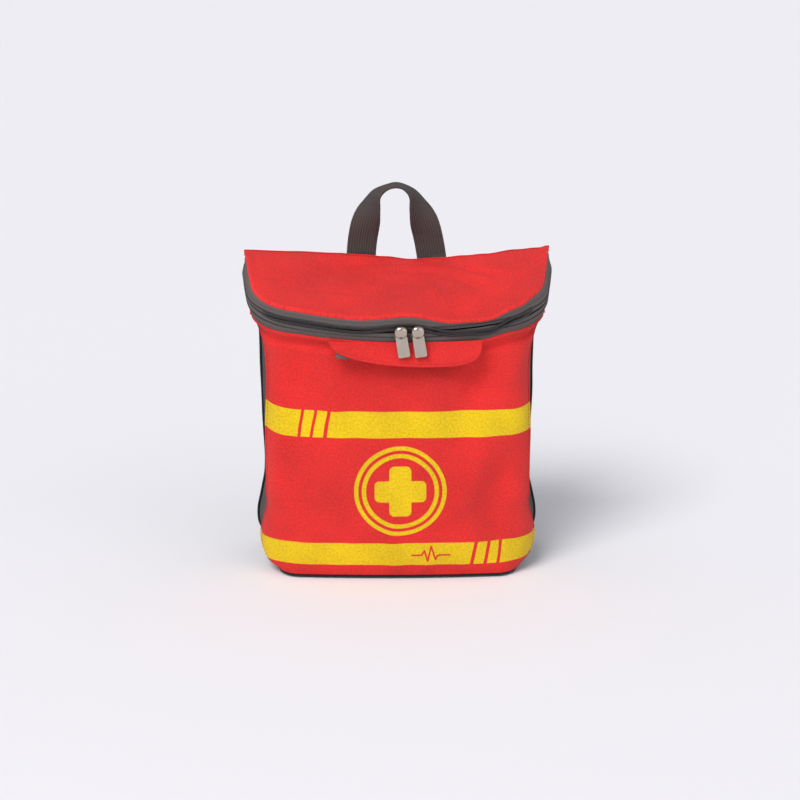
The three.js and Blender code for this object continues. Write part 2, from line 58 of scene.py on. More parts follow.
# ---- the bag's driving dimensions, as in the CAD model ---------------------------------------
def node_mm(name):
    low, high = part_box(name)
    return np.array(low) / MM, np.array(high) / MM


BACK_Y = node_mm("back_panel")[1][1]
HINGE_Z = node_mm("lid_panel")[1][2] + 0.2
SLOPE = math.radians(13)
SIN, COS = math.sin(SLOPE), math.cos(SLOPE)
RIM = dict(half_back=130.4, depth=120.0, radius=220.0, chord=84.0, corner=60.0, splay=81.4)
RIM_END = 8.0
PARTING = -10.9
PARTING_GAP = 1.4
TAPE_HEIGHT = 7.4
BODY_TOP = PARTING - PARTING_GAP / 2 - TAPE_HEIGHT - 0.4
SHELL_FOOT = 3.6
SHELL_BACK = BACK_Y - 2.8
OUTLINES = [
    (0.0, dict(half_back=108, front=-47, radius=900, chord=82, corner=19, splay=88)),
    (0.05, dict(half_back=118, front=-50, radius=900, chord=75, corner=36, splay=88)),
    (0.11, dict(half_back=119.8, front=-52, radius=900, chord=75, corner=40, splay=88)),
    (0.18, dict(half_back=117, front=-53, radius=900, chord=76, corner=38.5, splay=88)),
    (0.28, dict(half_back=112.8, front=-53, radius=880, chord=80, corner=31, splay=88)),
    (0.42, dict(half_back=114.2, front=-53, radius=840, chord=84, corner=26, splay=88)),
    (0.55, dict(half_back=115, front=-52, radius=800, chord=88, corner=22, splay=88)),
    (0.86, dict(half_back=117.5, front=-49, radius=420, chord=89, corner=23.5, splay=86)),
]


# ---- materials -----------------------------------------------------------------------------
class Value:
    """A socket of a node tree, so that node maths reads as plain arithmetic."""

    def __init__(self, nodes, socket):
        self.nodes, self.socket = nodes, socket

    def __add__(self, other):
        return self.nodes.math("ADD", self, other)

    def __sub__(self, other):
        return self.nodes.math("SUBTRACT", self, other)

    def __rsub__(self, other):
        return self.nodes.math("SUBTRACT", other, self)

    def __mul__(self, other):
        return self.nodes.math("MULTIPLY", self, other)

    def __abs__(self):
        return self.nodes.math("ABSOLUTE", self)


class Nodes:
    """Short calls for building a node tree: every value may be a number or a Value."""

    def __init__(self, name):
        self.material = bpy.data.materials.new(name)
        self.material.use_nodes = True
        self.tree = self.material.node_tree
        self.shader = self.tree.nodes["Principled BSDF"]

    def feed(self, socket, value):
        if isinstance(value, Value):
            self.tree.links.new(value.socket, socket)
        else:
            socket.default_value = value

    def made(self, kind, feeds, output=0, **settings):
        """One output of a new node, whose inputs are fed by name or number."""
        node = self.tree.nodes.new(kind)
        for key, value in settings.items():
            setattr(node, key, value)
        for key, value in feeds.items():
            self.feed(node.inputs[key], value)
        return Value(self, node.outputs[output])

    def math(self, operation, *values):
        return self.made("ShaderNodeMath", dict(enumerate(values)), operation=operation)

    def sine(self, value):
        return self.math("SINE", value)

    def length(self, x, y):
        return self.math("SQRT", x * x + y * y)

    def axes(self, uv_map=None):
        """A UV map, or the object's own coordinates, and its x, y and z."""
        if uv_map:
            source = self.made("ShaderNodeUVMap", {}, uv_map=uv_map)
        else:
            source = self.made("ShaderNodeTexCoord", {}, "Object")
        return source, [self.made("ShaderNodeSeparateXYZ", {0: source}, k) for k in range(3)]

    def noise(self, vector, scale, detail=3.0, rough=0.5):
        return self.made("ShaderNodeTexNoise", {"Vector": vector, "Scale": scale,
                                                "Detail": detail, "Roughness": rough})

    def between(self, value, low, high, to_low=0.0, to_high=1.0):
        return self.made("ShaderNodeMapRange",
                         dict(enumerate((value, low, high, to_low, to_high))))

    def mix(self, share, first, second):
        return self.made("ShaderNodeMix", {0: share, 6: first, 7: second}, 2,
                         data_type="RGBA")

    def shaded(self, colour, value):
        """The colour made lighter or darker by a factor."""
        return self.made("ShaderNodeHueSaturation", {"Value": value, "Color": colour})

    def bump(self, height, distance, strength=1.0, **normal):
        return self.made("ShaderNodeBump", {"Height": height, "Distance": distance,
                                            "Strength": strength, **normal})

    def finish(self, colour, roughness, normal, **fixed):
        self.feed(self.shader.inputs["Base Color"], colour)
        self.feed(self.shader.inputs["Roughness"], roughness)
        self.feed(self.shader.inputs["Normal"], normal)
        for key, value in fixed.items():
            self.shader.inputs[key.replace("_", " ")].default_value = value
        return self.material


def rgb(r, g, b):
    """A colour from its 8-bit screen values."""
    linear = [c / 255 / 12.92 if c <= 10 else ((c / 255 + 0.055) / 1.055) ** 2.4
              for c in (r, g, b)]
    return (*linear, 1.0)


def weave_height(n, u, v, pitch):
    """Over-and-under threads of a plain weave, from 0 to 1. u and v are in millimetres."""
    turn = 2 * math.pi / pitch
    over = n.math("SIGN", n.sine(u * (turn / 2)) * n.sine(v * (turn / 2)))
    return over * (n.sine(u * turn) - n.sine(v * turn)) * 0.25 + 0.5


def woven(name, colour, print_mask=None, print_colour=None, pitch=0.9, rough=0.62,
          shade=0.10, gloss=0.3):
    """Coated polyester: fine plain weave, slight thread-to-thread and cloudy variation."""
    n = Nodes(name)
    source, (u, v, _) = n.axes("metric")
    height = weave_height(n, u, v, pitch)
    cloudy = n.noise(source, 0.02, 3.0)
    threads = n.noise(source, 0.62, 1.0)
    base = n.mix(print_mask(n, u, v), colour, print_colour) if print_mask else colour
    # the height term paints the weave's low parts darker and its high parts lighter, as painted
    # shade between the threads; the cloudy and thread terms are random tone
    value = (n.between(cloudy, 0.3, 0.7, 1 - shade * 0.5, 1 + shade * 0.4)
             + n.between(threads, 0.3, 0.7, -shade * 0.55, shade * 0.55)
             + n.between(height, 0, 1, -shade * 0.35, shade * 0.2))
    fine = n.bump(height, 0.0005)
    soft = n.bump(n.noise(source, 0.09, 4.0, 0.6), 0.0022, 0.6, Normal=fine)
    return n.finish(n.shaded(base, value), n.between(cloudy, 0.2, 0.8, rough - 0.06, rough + 0.08),
                    soft, Specular_IOR_Level=gloss)


def ribbed(name, colour, rib=1.5, rough=0.75, across="u", shade=0.35, depth=0.0004):
    """Webbing and zip tape: ribs along their length, crossed by fine threads."""
    n = Nodes(name)
    source, (u, v, _) = n.axes("metric")
    if across == "v":
        u, v = v, u
    thread = 1.1
    ribs = abs(n.sine(u * (math.pi / rib)))
    row = n.math("FLOOR", n.math("DIVIDE", u, rib))
    shift = n.math("MODULO", row, 2.0) * math.pi
    picks = n.sine(v * (2 * math.pi / thread) + shift)
    height = picks * 0.22 + ribs * 0.7
    # the grooves between the ribs are painted darker and the raised ribs lighter, as painted
    # shade; the grain term is random tone
    tone = n.between(height, -0.1, 0.9, 1 - shade, 1 + shade * 0.35)
    grain = n.between(n.noise(source, 1.2, 2.0), 0.3, 0.7, 0.9, 1.12)
    return n.finish(n.shaded(colour, tone * grain), rough, n.bump(height, depth),
                    Specular_IOR_Level=0.3)


def solid(name, colour, rough, metal=0.0, grain=0.06, scale=900.0, bump=0.00004, **fixed):
    """Metal, moulded plastic or thread: an even colour with fine grain."""
    n = Nodes(name)
    source, _ = n.axes()
    fine = n.noise(source, scale, 3.0)
    broad = n.noise(source, scale / 14, 2.0)
    tone = n.between(broad, 0.3, 0.7, 1 - grain, 1 + grain)
    roughness = n.between(fine, 0.25, 0.75, rough * 0.8, min(1.0, rough * 1.25))
    return n.finish(n.shaded(colour, tone), roughness, n.bump(fine, bump, 0.6),
                    Metallic=metal, **fixed)


# printed marks, in millimetres on the front: u from the middle, v up from the ground
UPPER_BAND = (123.7, 145.4)
LOWER_BAND = (13.6, 33.5)
UPPER_SLASHES = [(-82.3, -79.9, 2.6), (-72.0, -68.8, 2.6), (-60.6, -57.1, 3.2)]
LOWER_SLASHES = [(61.3, 65.0, 3.0), (72.7, 76.0, 2.9), (83.6, 86.6, 2.8)]
EMBLEM = dict(u=1.6, v=78.6, rings=((36.4, 1.75), (30.1, 1.8)), arm=21.3, half=9.1, round=4.1)
PULSE = [(11.5, 22.5), (19.5, 22.5), (22.0, 26.5), (24.5, 17.0), (27.5, 30.5), (31.0, 18.5),
         (33.0, 22.5), (43.0, 22.5)]


def inside(n, distance, soft=0.12):
    """1 where a signed distance is negative, 0 outside, with a narrow soft edge."""
    return n.between(distance, -soft, soft, 1.0, 0.0)


def band_mask(n, u, v, low, high, slashes):
    mask = inside(n, abs(v - (low + high) / 2) - (high - low) / 2)
    for bottom, top, width in slashes:
        line = (v - low) * ((top - bottom) / (high - low)) + bottom
        mask = mask * (1.0 - inside(n, abs(u - line) - width / 2))
    return mask


def round_box(n, x, y, half_x, half_y, radius):
    """Signed distance to a box with round corners, x and y measured from its middle."""
    qx, qy = abs(x) - (half_x - radius), abs(y) - (half_y - radius)
    reach = n.length(n.math("MAXIMUM", qx, 0.0), n.math("MAXIMUM", qy, 0.0))
    deep = n.math("MINIMUM", n.math("MAXIMUM", qx, qy), 0.0)
    return reach + deep - radius


def emblem_mask(n, u, v):
    x, y = u - EMBLEM["u"], v - EMBLEM["v"]
    arm, half, radius = EMBLEM["arm"], EMBLEM["half"], EMBLEM["round"]
    mask = inside(n, n.math("MINIMUM", round_box(n, x, y, arm, half, radius),
                            round_box(n, x, y, half, arm, radius)))
    for ring, width in EMBLEM["rings"]:
        mask = n.math("MAXIMUM", mask, inside(n, abs(n.length(x, y) - ring) - width))
    return mask


def pulse_mask(n, u, v, width=1.5):
    """A plain heartbeat line made of straight strokes."""
    mask = 0.0
    for (ax, ay), (bx, by) in zip(PULSE, PULSE[1:]):
        dx, dy = bx - ax, by - ay
        px, py = u - ax, v - ay
        share = n.between(px * dx + py * dy, 0.0, dx * dx + dy * dy)
        away = n.length(px - share * dx, py - share * dy)
        mask = n.math("MAXIMUM", mask, inside(n, away - width / 2))
    return mask


def front_print(n, u, v):
    lower = band_mask(n, u, v, *LOWER_BAND, LOWER_SLASHES) * (1.0 - pulse_mask(n, u, v))
    upper = band_mask(n, u, v, *UPPER_BAND, UPPER_SLASHES)
    return n.math("MAXIMUM", n.math("MAXIMUM", lower, upper), emblem_mask(n, u, v))


RED = rgb(236, 44, 42)
YELLOW = rgb(246, 206, 14)
MAT = {
    "front": woven("printed_red_weave", RED, front_print, YELLOW, shade=0.26),
    "red": woven("red_weave", RED, shade=0.26),
    "gusset": woven("grey_weave", rgb(94, 88, 86), shade=0.3, rough=0.8, gloss=0.15),
    "tape": ribbed("zip_tape_weave", rgb(98, 90, 88), rib=1.0, across="v", depth=0.00015),
    "webbing": ribbed("ribbed_webbing", rgb(76, 67, 65), rib=2.1, depth=0.0006),
    "patch": ribbed("grey_patch_weave", rgb(70, 65, 64), rib=1.6, depth=0.0003),
    "piping": woven("black_piping_weave", rgb(30, 28, 28), pitch=0.8, shade=0.3),
    "teeth": solid("coil_nylon", rgb(34, 31, 32), 0.38, bump=0.00002),
    "thread_dark": solid("grey_thread", rgb(58, 53, 52), 0.6, grain=0.2, bump=0.0001),
    "thread_red": solid("red_thread", rgb(196, 34, 34), 0.55, grain=0.15, bump=0.0001),
    "nickel": solid("polished_nickel", rgb(186, 174, 162), 0.16, metal=1.0, scale=1500.0),
    # the slider bodies: the pulls' nickel painted darker, as painted shade
    "nickel_painted_shade": solid("shaded_nickel", rgb(128, 119, 112), 0.22, metal=1.0, scale=1500.0),
    "plastic": solid("black_acetal", rgb(28, 28, 30), 0.42, bump=0.00008),
    "lining": woven("grey_lining", rgb(126, 124, 126), pitch=0.7, shade=0.12, rough=0.5),
}


# ---- mesh helpers --------------------------------------------------------------------------
def placed(name, data):
    """A new object of the scene that holds this data."""
    made = bpy.data.objects.new(name, data)
    bpy.context.collection.objects.link(made)
    return made


@contextlib.contextmanager
def editing(mesh):
    """The mesh as a bmesh, which is written back at the end."""
    work = bmesh.new()
    work.from_mesh(mesh)
    yield work
    work.to_mesh(mesh)
    work.free()


def fix_normals(mesh, merge=False):
    """Turns all faces outwards, after joining points that lie on each other."""
    with editing(mesh) as work:
        if merge:
            bmesh.ops.remove_doubles(work, verts=work.verts, dist=0.01 * MM)
        bmesh.ops.recalc_face_normals(work, faces=work.faces)


def make_mesh(name, points, faces, material, uv=None, smooth=True):
    """A mesh object from points in millimetres; uv holds one pair for each point."""
    mesh = bpy.data.meshes.new(name)
    mesh.from_pydata((np.asarray(points) * MM).tolist(), [], [list(f) for f in faces])
    mesh.update()
    if uv is not None:
        uv = np.asarray(uv, float)
        layer = mesh.uv_layers.new(name="metric")
        corner = np.empty(len(mesh.loops), int)
        mesh.loops.foreach_get("vertex_index", corner)
        layer.data.foreach_set("uv", uv[corner].ravel())
    mesh.materials.append(MAT[material])
    if smooth:
        mesh.shade_smooth()
    return placed(name, mesh)


def arc_uv(grid):
    """Lengths along the rows (from the middle column) and up the middle column, as UVs."""
    across = np.linalg.norm(np.diff(grid, axis=1), axis=2)
    u = np.concatenate([np.zeros((len(grid), 1)), np.cumsum(across, axis=1)], axis=1)
    middle = grid.shape[1] // 2
    u -= u[:, middle:middle + 1]
    up = np.linalg.norm(np.diff(grid[:, middle], axis=0), axis=1)
    v = np.concatenate([[0], np.cumsum(up)])
    return np.stack([u, np.repeat(v[:, None], grid.shape[1], axis=1)], axis=2)


def grid_faces(rows, columns, closed=False):
    index = np.arange(rows * columns).reshape(rows, columns)
    if closed:
        index = np.concatenate([index, index[:, :1]], axis=1)
    a, b = index[:-1, :-1], index[:-1, 1:]
    c, d = index[1:, 1:], index[1:, :-1]
    return np.stack([a, b, c, d], axis=2).reshape(-1, 4)


def capped_faces(rows, count):
    """Faces of a closed section of count points, swept along rows, with both ends shut."""
    faces = grid_faces(rows, count, closed=True).tolist()
    faces.append(list(range(count))[::-1])
    faces.append([(rows - 1) * count + k for k in range(count)])
    return faces


def facing(grid, towards):
    """True if the grid's faces point the given way."""
    middle = (grid.shape[0] // 2, grid.shape[1] // 2)
    a, b = grid[middle], grid[middle[0], middle[1] + 1]
    c = grid[middle[0] - 1, middle[1]]
    normal = np.cross(b - a, a - c)
    return float(normal @ np.asarray(towards, float)) > 0


def sheet_piece(name, grid, material, thick, out, uv=None, bevel=0.0):
    """A sheet with real thickness: the grid is its outer face, seen from direction out."""
    uv = arc_uv(grid) if uv is None else uv
    faces = grid_faces(*grid.shape[:2])
    if not facing(grid, out):
        faces = faces[:, ::-1]
    made = make_mesh(name, grid.reshape(-1, 3), faces, material, uv.reshape(-1, 2))
    solid_mod = made.modifiers.new("thickness", "SOLIDIFY")
    solid_mod.thickness = thick * MM
    solid_mod.offset = -1
    if bevel:
        round_mod = made.modifiers.new("edge", "BEVEL")
        round_mod.width = bevel * MM
        round_mod.segments = 2
        round_mod.limit_method = "ANGLE"
        round_mod.angle_limit = math.radians(50)
    return made


def bake(made):
    """Applies the modifiers, so that the mesh is final."""
    depsgraph = bpy.context.evaluated_depsgraph_get()
    mesh = bpy.data.meshes.new_from_object(made.evaluated_get(depsgraph))
    made.modifiers.clear()
    made.data = mesh
    return made


def along_curve(points):
    """Distance along a row of points, starting at 0."""
    steps = np.linalg.norm(np.diff(points, axis=0), axis=1)
    return np.concatenate([[0], np.cumsum(steps)])


def resample(points, count):
    points = np.asarray(points, float)
    length = along_curve(points)
    at = np.linspace(0, length[-1], count)
    return np.stack([np.interp(at, length, points[:, k]) for k in range(3)], axis=1)


def sample(row, distance, at):
    """The point of a row, or the direction that goes with it, at a distance along it."""
    return np.array([np.interp(at, distance, row[:, j]) for j in range(3)])


def bezier(knots, count):
    """Points of the cubic curve that four knots make."""
    t = np.linspace(0, 1, count)[:, None]
    a, b, c, d = knots
    return (1 - t) ** 3 * a + 3 * (1 - t) ** 2 * t * b + 3 * (1 - t) * t ** 2 * c + t ** 3 * d


def tangents(points):
    found = np.gradient(np.asarray(points, float), axis=0)
    return found / np.linalg.norm(found, axis=1, keepdims=True)


def tube(name, points, radius, material, sides=10):
    """A round cord with domed ends along a row of points."""
    points = np.asarray(points, float)
    along = tangents(points)
    side = np.cross(along, [0.0, 0.0, 1.0])
    weak = np.linalg.norm(side, axis=1) < 0.2
    side[weak] = np.cross(along[weak], [0.0, 1.0, 0.0])
    side /= np.linalg.norm(side, axis=1, keepdims=True)
    for i in range(1, len(side)):
        turned = side[i - 1] - along[i] * (side[i - 1] @ along[i])
        side[i] = turned / np.linalg.norm(turned)
    other = np.cross(along, side)
    angle = np.linspace(0, 2 * math.pi, sides, endpoint=False)
    ring = (np.cos(angle)[None, :, None] * side[:, None, :]
            + np.sin(angle)[None, :, None] * other[:, None, :]) * radius
    grid = points[:, None, :] + ring
    faces = grid_faces(len(points), sides, closed=True).tolist()
    count = grid.shape[0] * sides
    ends = [points[0] - along[0] * radius * 0.6, points[-1] + along[-1] * radius * 0.6]
    for k in range(sides):
        faces.append([(k + 1) % sides, k, count])
        faces.append([count - sides + k, count - sides + (k + 1) % sides, count + 1])
    uv = np.stack([np.repeat((angle * radius)[None], len(points), axis=0),
                   np.repeat(along_curve(points)[:, None], sides, axis=1)], axis=2)
    uv = np.vstack([uv.reshape(-1, 2), [[0, 0], [0, 0]]])
    made = make_mesh(name, np.vstack([grid.reshape(-1, 3), ends]), faces, material, uv)
    fix_normals(made.data)
    return made


def strap_mesh(name, centres, across, width, thick, material, crown=0.0):
    """Flat webbing along a line: a rounded flat section swept with a width direction."""
    centres, across = np.asarray(centres, float), np.asarray(across, float)
    across = across / np.linalg.norm(across, axis=1, keepdims=True)
    along = tangents(centres)
    face = np.cross(along, across)
    face /= np.linalg.norm(face, axis=1, keepdims=True)
    half, edge = width / 2, thick / 2
    share = np.linspace(-1, 1, 9)
    top = [(s * (half - edge), edge + crown * (1 - s * s)) for s in share]
    bottom = [(-s * (half - edge), -edge + crown * (1 - s * s)) for s in share]
    section = np.array(top + [(half, 0)] + bottom + [(-half, 0)])
    grid = (centres[:, None, :] + across[:, None, :] * section[None, :, :1]
            + face[:, None, :] * section[None, :, 1:])
    count = len(section)
    faces = capped_faces(len(centres), count)
    length = along_curve(centres)
    uv = np.stack([np.repeat(section[None, :, 0], len(centres), axis=0),
                   np.repeat(length[:, None], count, axis=1)], axis=2)
    made = make_mesh(name, grid.reshape(-1, 3), faces, material, uv.reshape(-1, 2))
    fix_normals(made.data)
    return made


def stitches(name, rows, normals, material, pitch=3.0, length=2.1, radius=0.22, sink=0.0):
    """Sewn thread: short dashes along each row of points, lying on the cloth."""
    points, faces = [], []
    sides = 6
    bar = capped_faces(4, sides)
    for row, normal in zip(rows, normals):
        row = np.asarray(row, float)
        normal = np.broadcast_to(np.asarray(normal, float), row.shape)
        distance = along_curve(row)
        count = max(1, int(distance[-1] / pitch))
        for k in range(count):
            at = (k + 0.5) * distance[-1] / count
            where = sample(row, distance, at)
            run = sample(row, distance, at + 0.3) - sample(row, distance, at - 0.3)
            if np.linalg.norm(run) < 1e-6:
                continue
            run /= np.linalg.norm(run)
            up = sample(normal, distance, at)
            up = up - run * (up @ run)
            up /= np.linalg.norm(up)
            side = np.cross(run, up)
            faces += [[len(points) + j for j in face] for face in bar]
            for share, scale, dip in ((-0.5, 0.35, -1.1), (-0.3, 1, 0.1), (0.3, 1, 0.1),
                                      (0.5, 0.35, -1.1)):
                middle = where + run * share * length + up * (dip * radius - sink)
                for j in range(sides):
                    turn = 2 * math.pi * j / sides
                    points.append(middle + scale * radius * (math.cos(turn) * side
                                                             + math.sin(turn) * up))
    return make_mesh(name, points, faces, material)


def flat_shape(name, outline, holes, depth, edge, material, matrix, points_round=3):
    """A flat plate with rounded edges, drawn in its own X and Y and centred on Z = 0."""
    curve = bpy.data.curves.new(name, "CURVE")
    curve.dimensions = "2D"
    curve.fill_mode = "BOTH"
    for loop in [outline, *holes]:
        spline = curve.splines.new("POLY")
        spline.points.add(len(loop) - 1)
        for point, (x, y) in zip(spline.points, loop):
            point.co = (x * MM, y * MM, 0, 1)
        spline.use_cyclic_u = True
    curve.extrude = (depth / 2 - edge) * MM
    curve.bevel_depth = edge * MM
    curve.bevel_resolution = points_round
    curve.offset = -edge * MM
    source = placed(name + "_drawing", curve)
    bpy.context.view_layer.update()
    mesh = bpy.data.meshes.new_from_object(
        source.evaluated_get(bpy.context.evaluated_depsgraph_get()))
    bpy.data.objects.remove(source)
    fix_normals(mesh, merge=True)
    mesh.transform(matrix)
    mesh.name = name
    mesh.materials.clear()
    mesh.materials.append(MAT[material])
    return placed(name, mesh)


def auto_smooth(made, angle=35):
    """Smooth shading that keeps edges sharper than the angle."""
    made.data.shade_smooth()
    with editing(made.data) as work:
        for edge in work.edges:
            if len(edge.link_faces) == 2 and edge.calc_face_angle(0.0) > math.radians(angle):
                edge.smooth = False


def joined(name, pieces):
    """Several mesh objects as one object."""
    work = bmesh.new()
    materials = []
    for piece in pieces:
        material = piece.data.materials[0]
        if material not in materials:
            materials.append(material)
        start = len(work.faces)
        work.from_mesh(piece.data)
        work.faces.ensure_lookup_table()
        for face in work.faces[start:]:
            face.material_index = materials.index(material)
    mesh = bpy.data.meshes.new(name)
    work.to_mesh(mesh)
    work.free()
    for material in materials:
        mesh.materials.append(material)
    for piece in pieces:
        bpy.data.objects.remove(piece)
    return placed(name, mesh)


def done(made, body, slot, *nodes):
    """Hangs a finished piece on the body it rides on and hides the parts it stands for; slot is
    not used.
    """
    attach(made, body)
    if nodes:
        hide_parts(*nodes)
    return made


def smoothstep(low, high, value):
    t = np.clip((np.asarray(value, float) - low) / (high - low), 0, 1)
    return t * t * (3 - 2 * t)


def plateau(start, full, last, end, value):
    """Rises from 0 at start to 1 at full, and falls from 1 at last to 0 at end."""
    return smoothstep(start, full, value) * (1 - smoothstep(last, end, value))


def hill(value, middle, wide):
    return np.exp(-((value - middle) / wide) ** 2)


def ridge(x, y, cx, cy, wide, tall, turn=0.0):
    """A soft hill of height 1, its long side tall, turned by degrees."""
    c, s = math.cos(math.radians(turn)), math.sin(math.radians(turn))
    p = (x - cx) * c + (y - cy) * s
    q = -(x - cx) * s + (y - cy) * c
    return np.exp(-(p / wide) ** 2 - (q / tall) ** 2)


def relief(x, y, ridges):
    """The sum of several ridges, each its height and then what ridge() takes."""
    return sum(height * ridge(x, y, *shape) for height, *shape in ridges)


# ---- the shell's surface -------------------------------------------------------------------
SIDE, CORNER, FRONT = 12, 26, 44  # columns on each side, corner and half front


def half_outline(half_back, radius, chord, corner, splay, depth, start):
    splay = math.radians(splay)
    turn = math.asin(chord / radius)
    drop = radius * (1 - math.cos(turn))
    end_x = chord + corner * (math.sin(splay) - math.sin(turn))
    end_u = depth - drop - corner * (math.cos(turn) - math.cos(splay))
    side = math.atan2(end_x - half_back, end_u)
    u = np.linspace(start, end_u, SIDE, endpoint=False)
    flank = np.stack([half_back + (end_x - half_back) * u / end_u, u,
                      np.full(SIDE, math.cos(side)), np.full(SIDE, -math.sin(side))], axis=1)
    a = np.linspace(splay, turn, CORNER, endpoint=False)
    bend = np.stack([chord + corner * (np.sin(a) - math.sin(turn)),
                     depth - drop - corner * (math.cos(turn) - np.cos(a)),
                     np.sin(a), np.cos(a)], axis=1)
    a = turn * (1 - np.arange(FRONT + 1) / FRONT)
    front = np.stack([radius * np.sin(a), depth - radius * (1 - np.cos(a)),
                      np.sin(a), np.cos(a)], axis=1)
    return np.vstack([flank, bend, front])


def whole_outline(start=0.0, **sizes):
    """x, distance forwards and outward normal, from -X round the front to +X."""
    right = half_outline(start=start, **sizes)
    left = right[:-1] * [-1, 1, -1, 1]
    return np.vstack([left, right[::-1]])


def sag(x, u):
    """How far the soft lid and its zip stand above their plane: the back corners curl up."""
    x, u = np.broadcast_arrays(np.asarray(x, float), np.asarray(u, float))
    reach = 16 + 84 * smoothstep(36, 110, np.abs(x))
    return wave(BACK_WAVE, x) * (1 - smoothstep(0, reach, u))


# how far the lid's edge and the body's edge stray from a plain curve: place across, lift
LID_WAVE = [(-132, 0.0), (-115, 1.0), (-82, 2.4), (-34, 1.2), (7, 5.2), (48, -3.3), (72, -4.8),
            (95, 1.6), (112, 4.6), (132, 1.0)]
BACK_WAVE = [(-132, 8.4), (-87, 7.0), (-50, 5.4), (-30, 4.0), (-10, 2.4), (12, 0.0), (37, 1.2),
             (58, 3.0), (75, 4.4), (101, 8.0), (119, 9.5), (132, 11.5)]
BODY_WAVE = [(-132, -2.0), (-118, -3.4), (-75, 0.0), (-40, 0.3), (0, 0.0), (36, -2.0),
             (66, -3.3), (89, -1.0), (119, -3.2), (132, -2.0)]


def wave(table, x):
    xs, lifts = np.array(table, float).T
    i = np.clip(np.searchsorted(xs, x) - 1, 0, len(xs) - 2)
    t = smoothstep(0, 1, (x - xs[i]) / (xs[i + 1] - xs[i]))
    return lifts[i] * (1 - t) + lifts[i + 1] * t


def rim_reach(x):
    """How far the rim is from the hinge at a place across the lid."""
    half = half_outline(start=0.0, **RIM)
    order = np.argsort(half[:, 0])
    return np.interp(np.abs(x), half[order, 0], half[order, 1])


def flare(u):
    """The zip stands out at the sides of the lid."""
    return 3.4 * plateau(6, 30, 66, 98, u)


def on_lid(x, u, w):
    x, u, w = np.broadcast_arrays(*(np.asarray(a, float) for a in (x, u, w)))
    near = smoothstep(45, 0, rim_reach(x) - u)
    top = smoothstep(-9.0, -1.0, w) * wave(LID_WAVE, x)
    foot = smoothstep(-13.0, -19.0, w) * wave(BODY_WAVE, x)
    w = w + sag(x, u) + near * (top + foot)
    x = x - np.sign(x) * 2.0 * smoothstep(80, 130, np.abs(x)) * (1 - smoothstep(0, 60, u))
    return np.stack([x, BACK_Y - u * COS - w * SIN, HINGE_Z - u * SIN + w * COS], axis=-1)


TOP = whole_outline(start=RIM_END - 0.6, **RIM)
TOP_OUT = 0.4 * flare(TOP[:, 1]) - 0.3
TOP_POINTS = on_lid(TOP[:, 0] + TOP_OUT * TOP[:, 2], TOP[:, 1] + TOP_OUT * TOP[:, 3], BODY_TOP)
SHARES = np.array([s for s, _ in OUTLINES] + [1.0])


def key_outline(sizes):
    sizes = dict(sizes)
    front = sizes.pop("front")
    o = whole_outline(depth=SHELL_BACK - front, **sizes)
    return np.stack([o[:, 0], SHELL_BACK - o[:, 1]], axis=1)


KEYS = np.array([key_outline(sizes) for _, sizes in OUTLINES] + [TOP_POINTS[:, :2]])
SLOPES = np.array([(KEYS[min(k + 1, len(KEYS) - 1)] - KEYS[max(k - 1, 0)])
                   / (SHARES[min(k + 1, len(KEYS) - 1)] - SHARES[max(k - 1, 0)])
                   for k in range(len(KEYS))])


def shell_row(share):
    """One ring of the shell, at a share of the way from its foot to its rim."""
    i = int(np.clip(np.searchsorted(SHARES, share, side="left") - 1, 0, len(SHARES) - 2))
    span = SHARES[i + 1] - SHARES[i]
    t = (share - SHARES[i]) / span
    h = t * t * (3 - 2 * t)
    plan = (KEYS[i] * (1 - h) + KEYS[i + 1] * h + span * (
        t * (1 - t) ** 2 * SLOPES[i] - t * t * (1 - t) * SLOPES[i + 1]))
    z = SHELL_FOOT + (TOP_POINTS[:, 2] - SHELL_FOOT) * share
    # the front corners of the foot bulge under the load
    foot = plateau(0, 14, 22, 62, z) * smoothstep(30, -15, plan[:, 1])
    side = plateau(56, 70, 185, 212, z) * smoothstep(35, -10, plan[:, 1])
    wide = 4.0 * foot + 1.7 * side
    plan[:, 0] += np.sign(plan[:, 0]) * wide * smoothstep(60, 105, np.abs(plan[:, 0]))
    return np.column_stack([plan, z])


def shell_grid(low, high, rows, ease=1.25):
    shares = low + (high - low) * np.linspace(0, 1, rows) ** ease
    return np.array([shell_row(s) for s in shares])


def outward(grid):
    """Unit normals of the shell's grid, pointing out of the bag."""
    across = np.gradient(grid, axis=1)
    up = np.gradient(grid, axis=0)
    normal = np.cross(across, up)
    return normal / np.linalg.norm(normal, axis=2, keepdims=True)


# ---- shell panels --------------------------------------------------------------------------
FRONT_FOLDS = [  # outwards in millimetres: height, x, z, half width, half length, turn
    (2.6, -6, 92, 72, 60, 0),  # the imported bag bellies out
    (-8.0, 90, 84, 15, 38, -9), (2.4, 64, 92, 10, 44, -9), (-5.6, -86, 170, 17, 30, 14),
    (3.2, -55, 170, 8, 42, 7), (-2.6, -34, 176, 12, 28, -10), (1.4, 28, 162, 10, 26, 12),
    (-4.0, 62, 166, 12, 26, -22), (2.0, 92, 172, 7, 34, 8), (1.6, -100, 96, 7, 36, -6),
    (-2.6, -84, 70, 12, 30, 8), (-1.4, 24, 44, 30, 7, 5), (1.0, -46, 45, 36, 7, -5),
    (-1.5, 0, 188, 46, 6, 0)]
GUSSET_FOLDS = [  # height, y, z, half width, half length, turn
    (-2.6, 20, 120, 16, 80, 5), (1.4, 2, 90, 7, 46, -6), (1.2, 36, 150, 6, 40, 8),
    (-1.5, 14, 60, 20, 10, 22)]


def small_creases(x, z, seed, count, size, amount):
    """Many faint creases of the coated cloth, the same ones every run."""
    made = np.random.default_rng(seed)
    total = np.zeros(np.shape(x))
    for _ in range(count):
        cx, cz = made.uniform(-125, 125), made.uniform(0, 235)
        tall = made.uniform(0.8, 2.2) * size
        total += made.normal() * amount * ridge(
            x, z, cx, cz, tall * made.uniform(0.16, 0.3), tall, made.uniform(-60, 60))
    return total


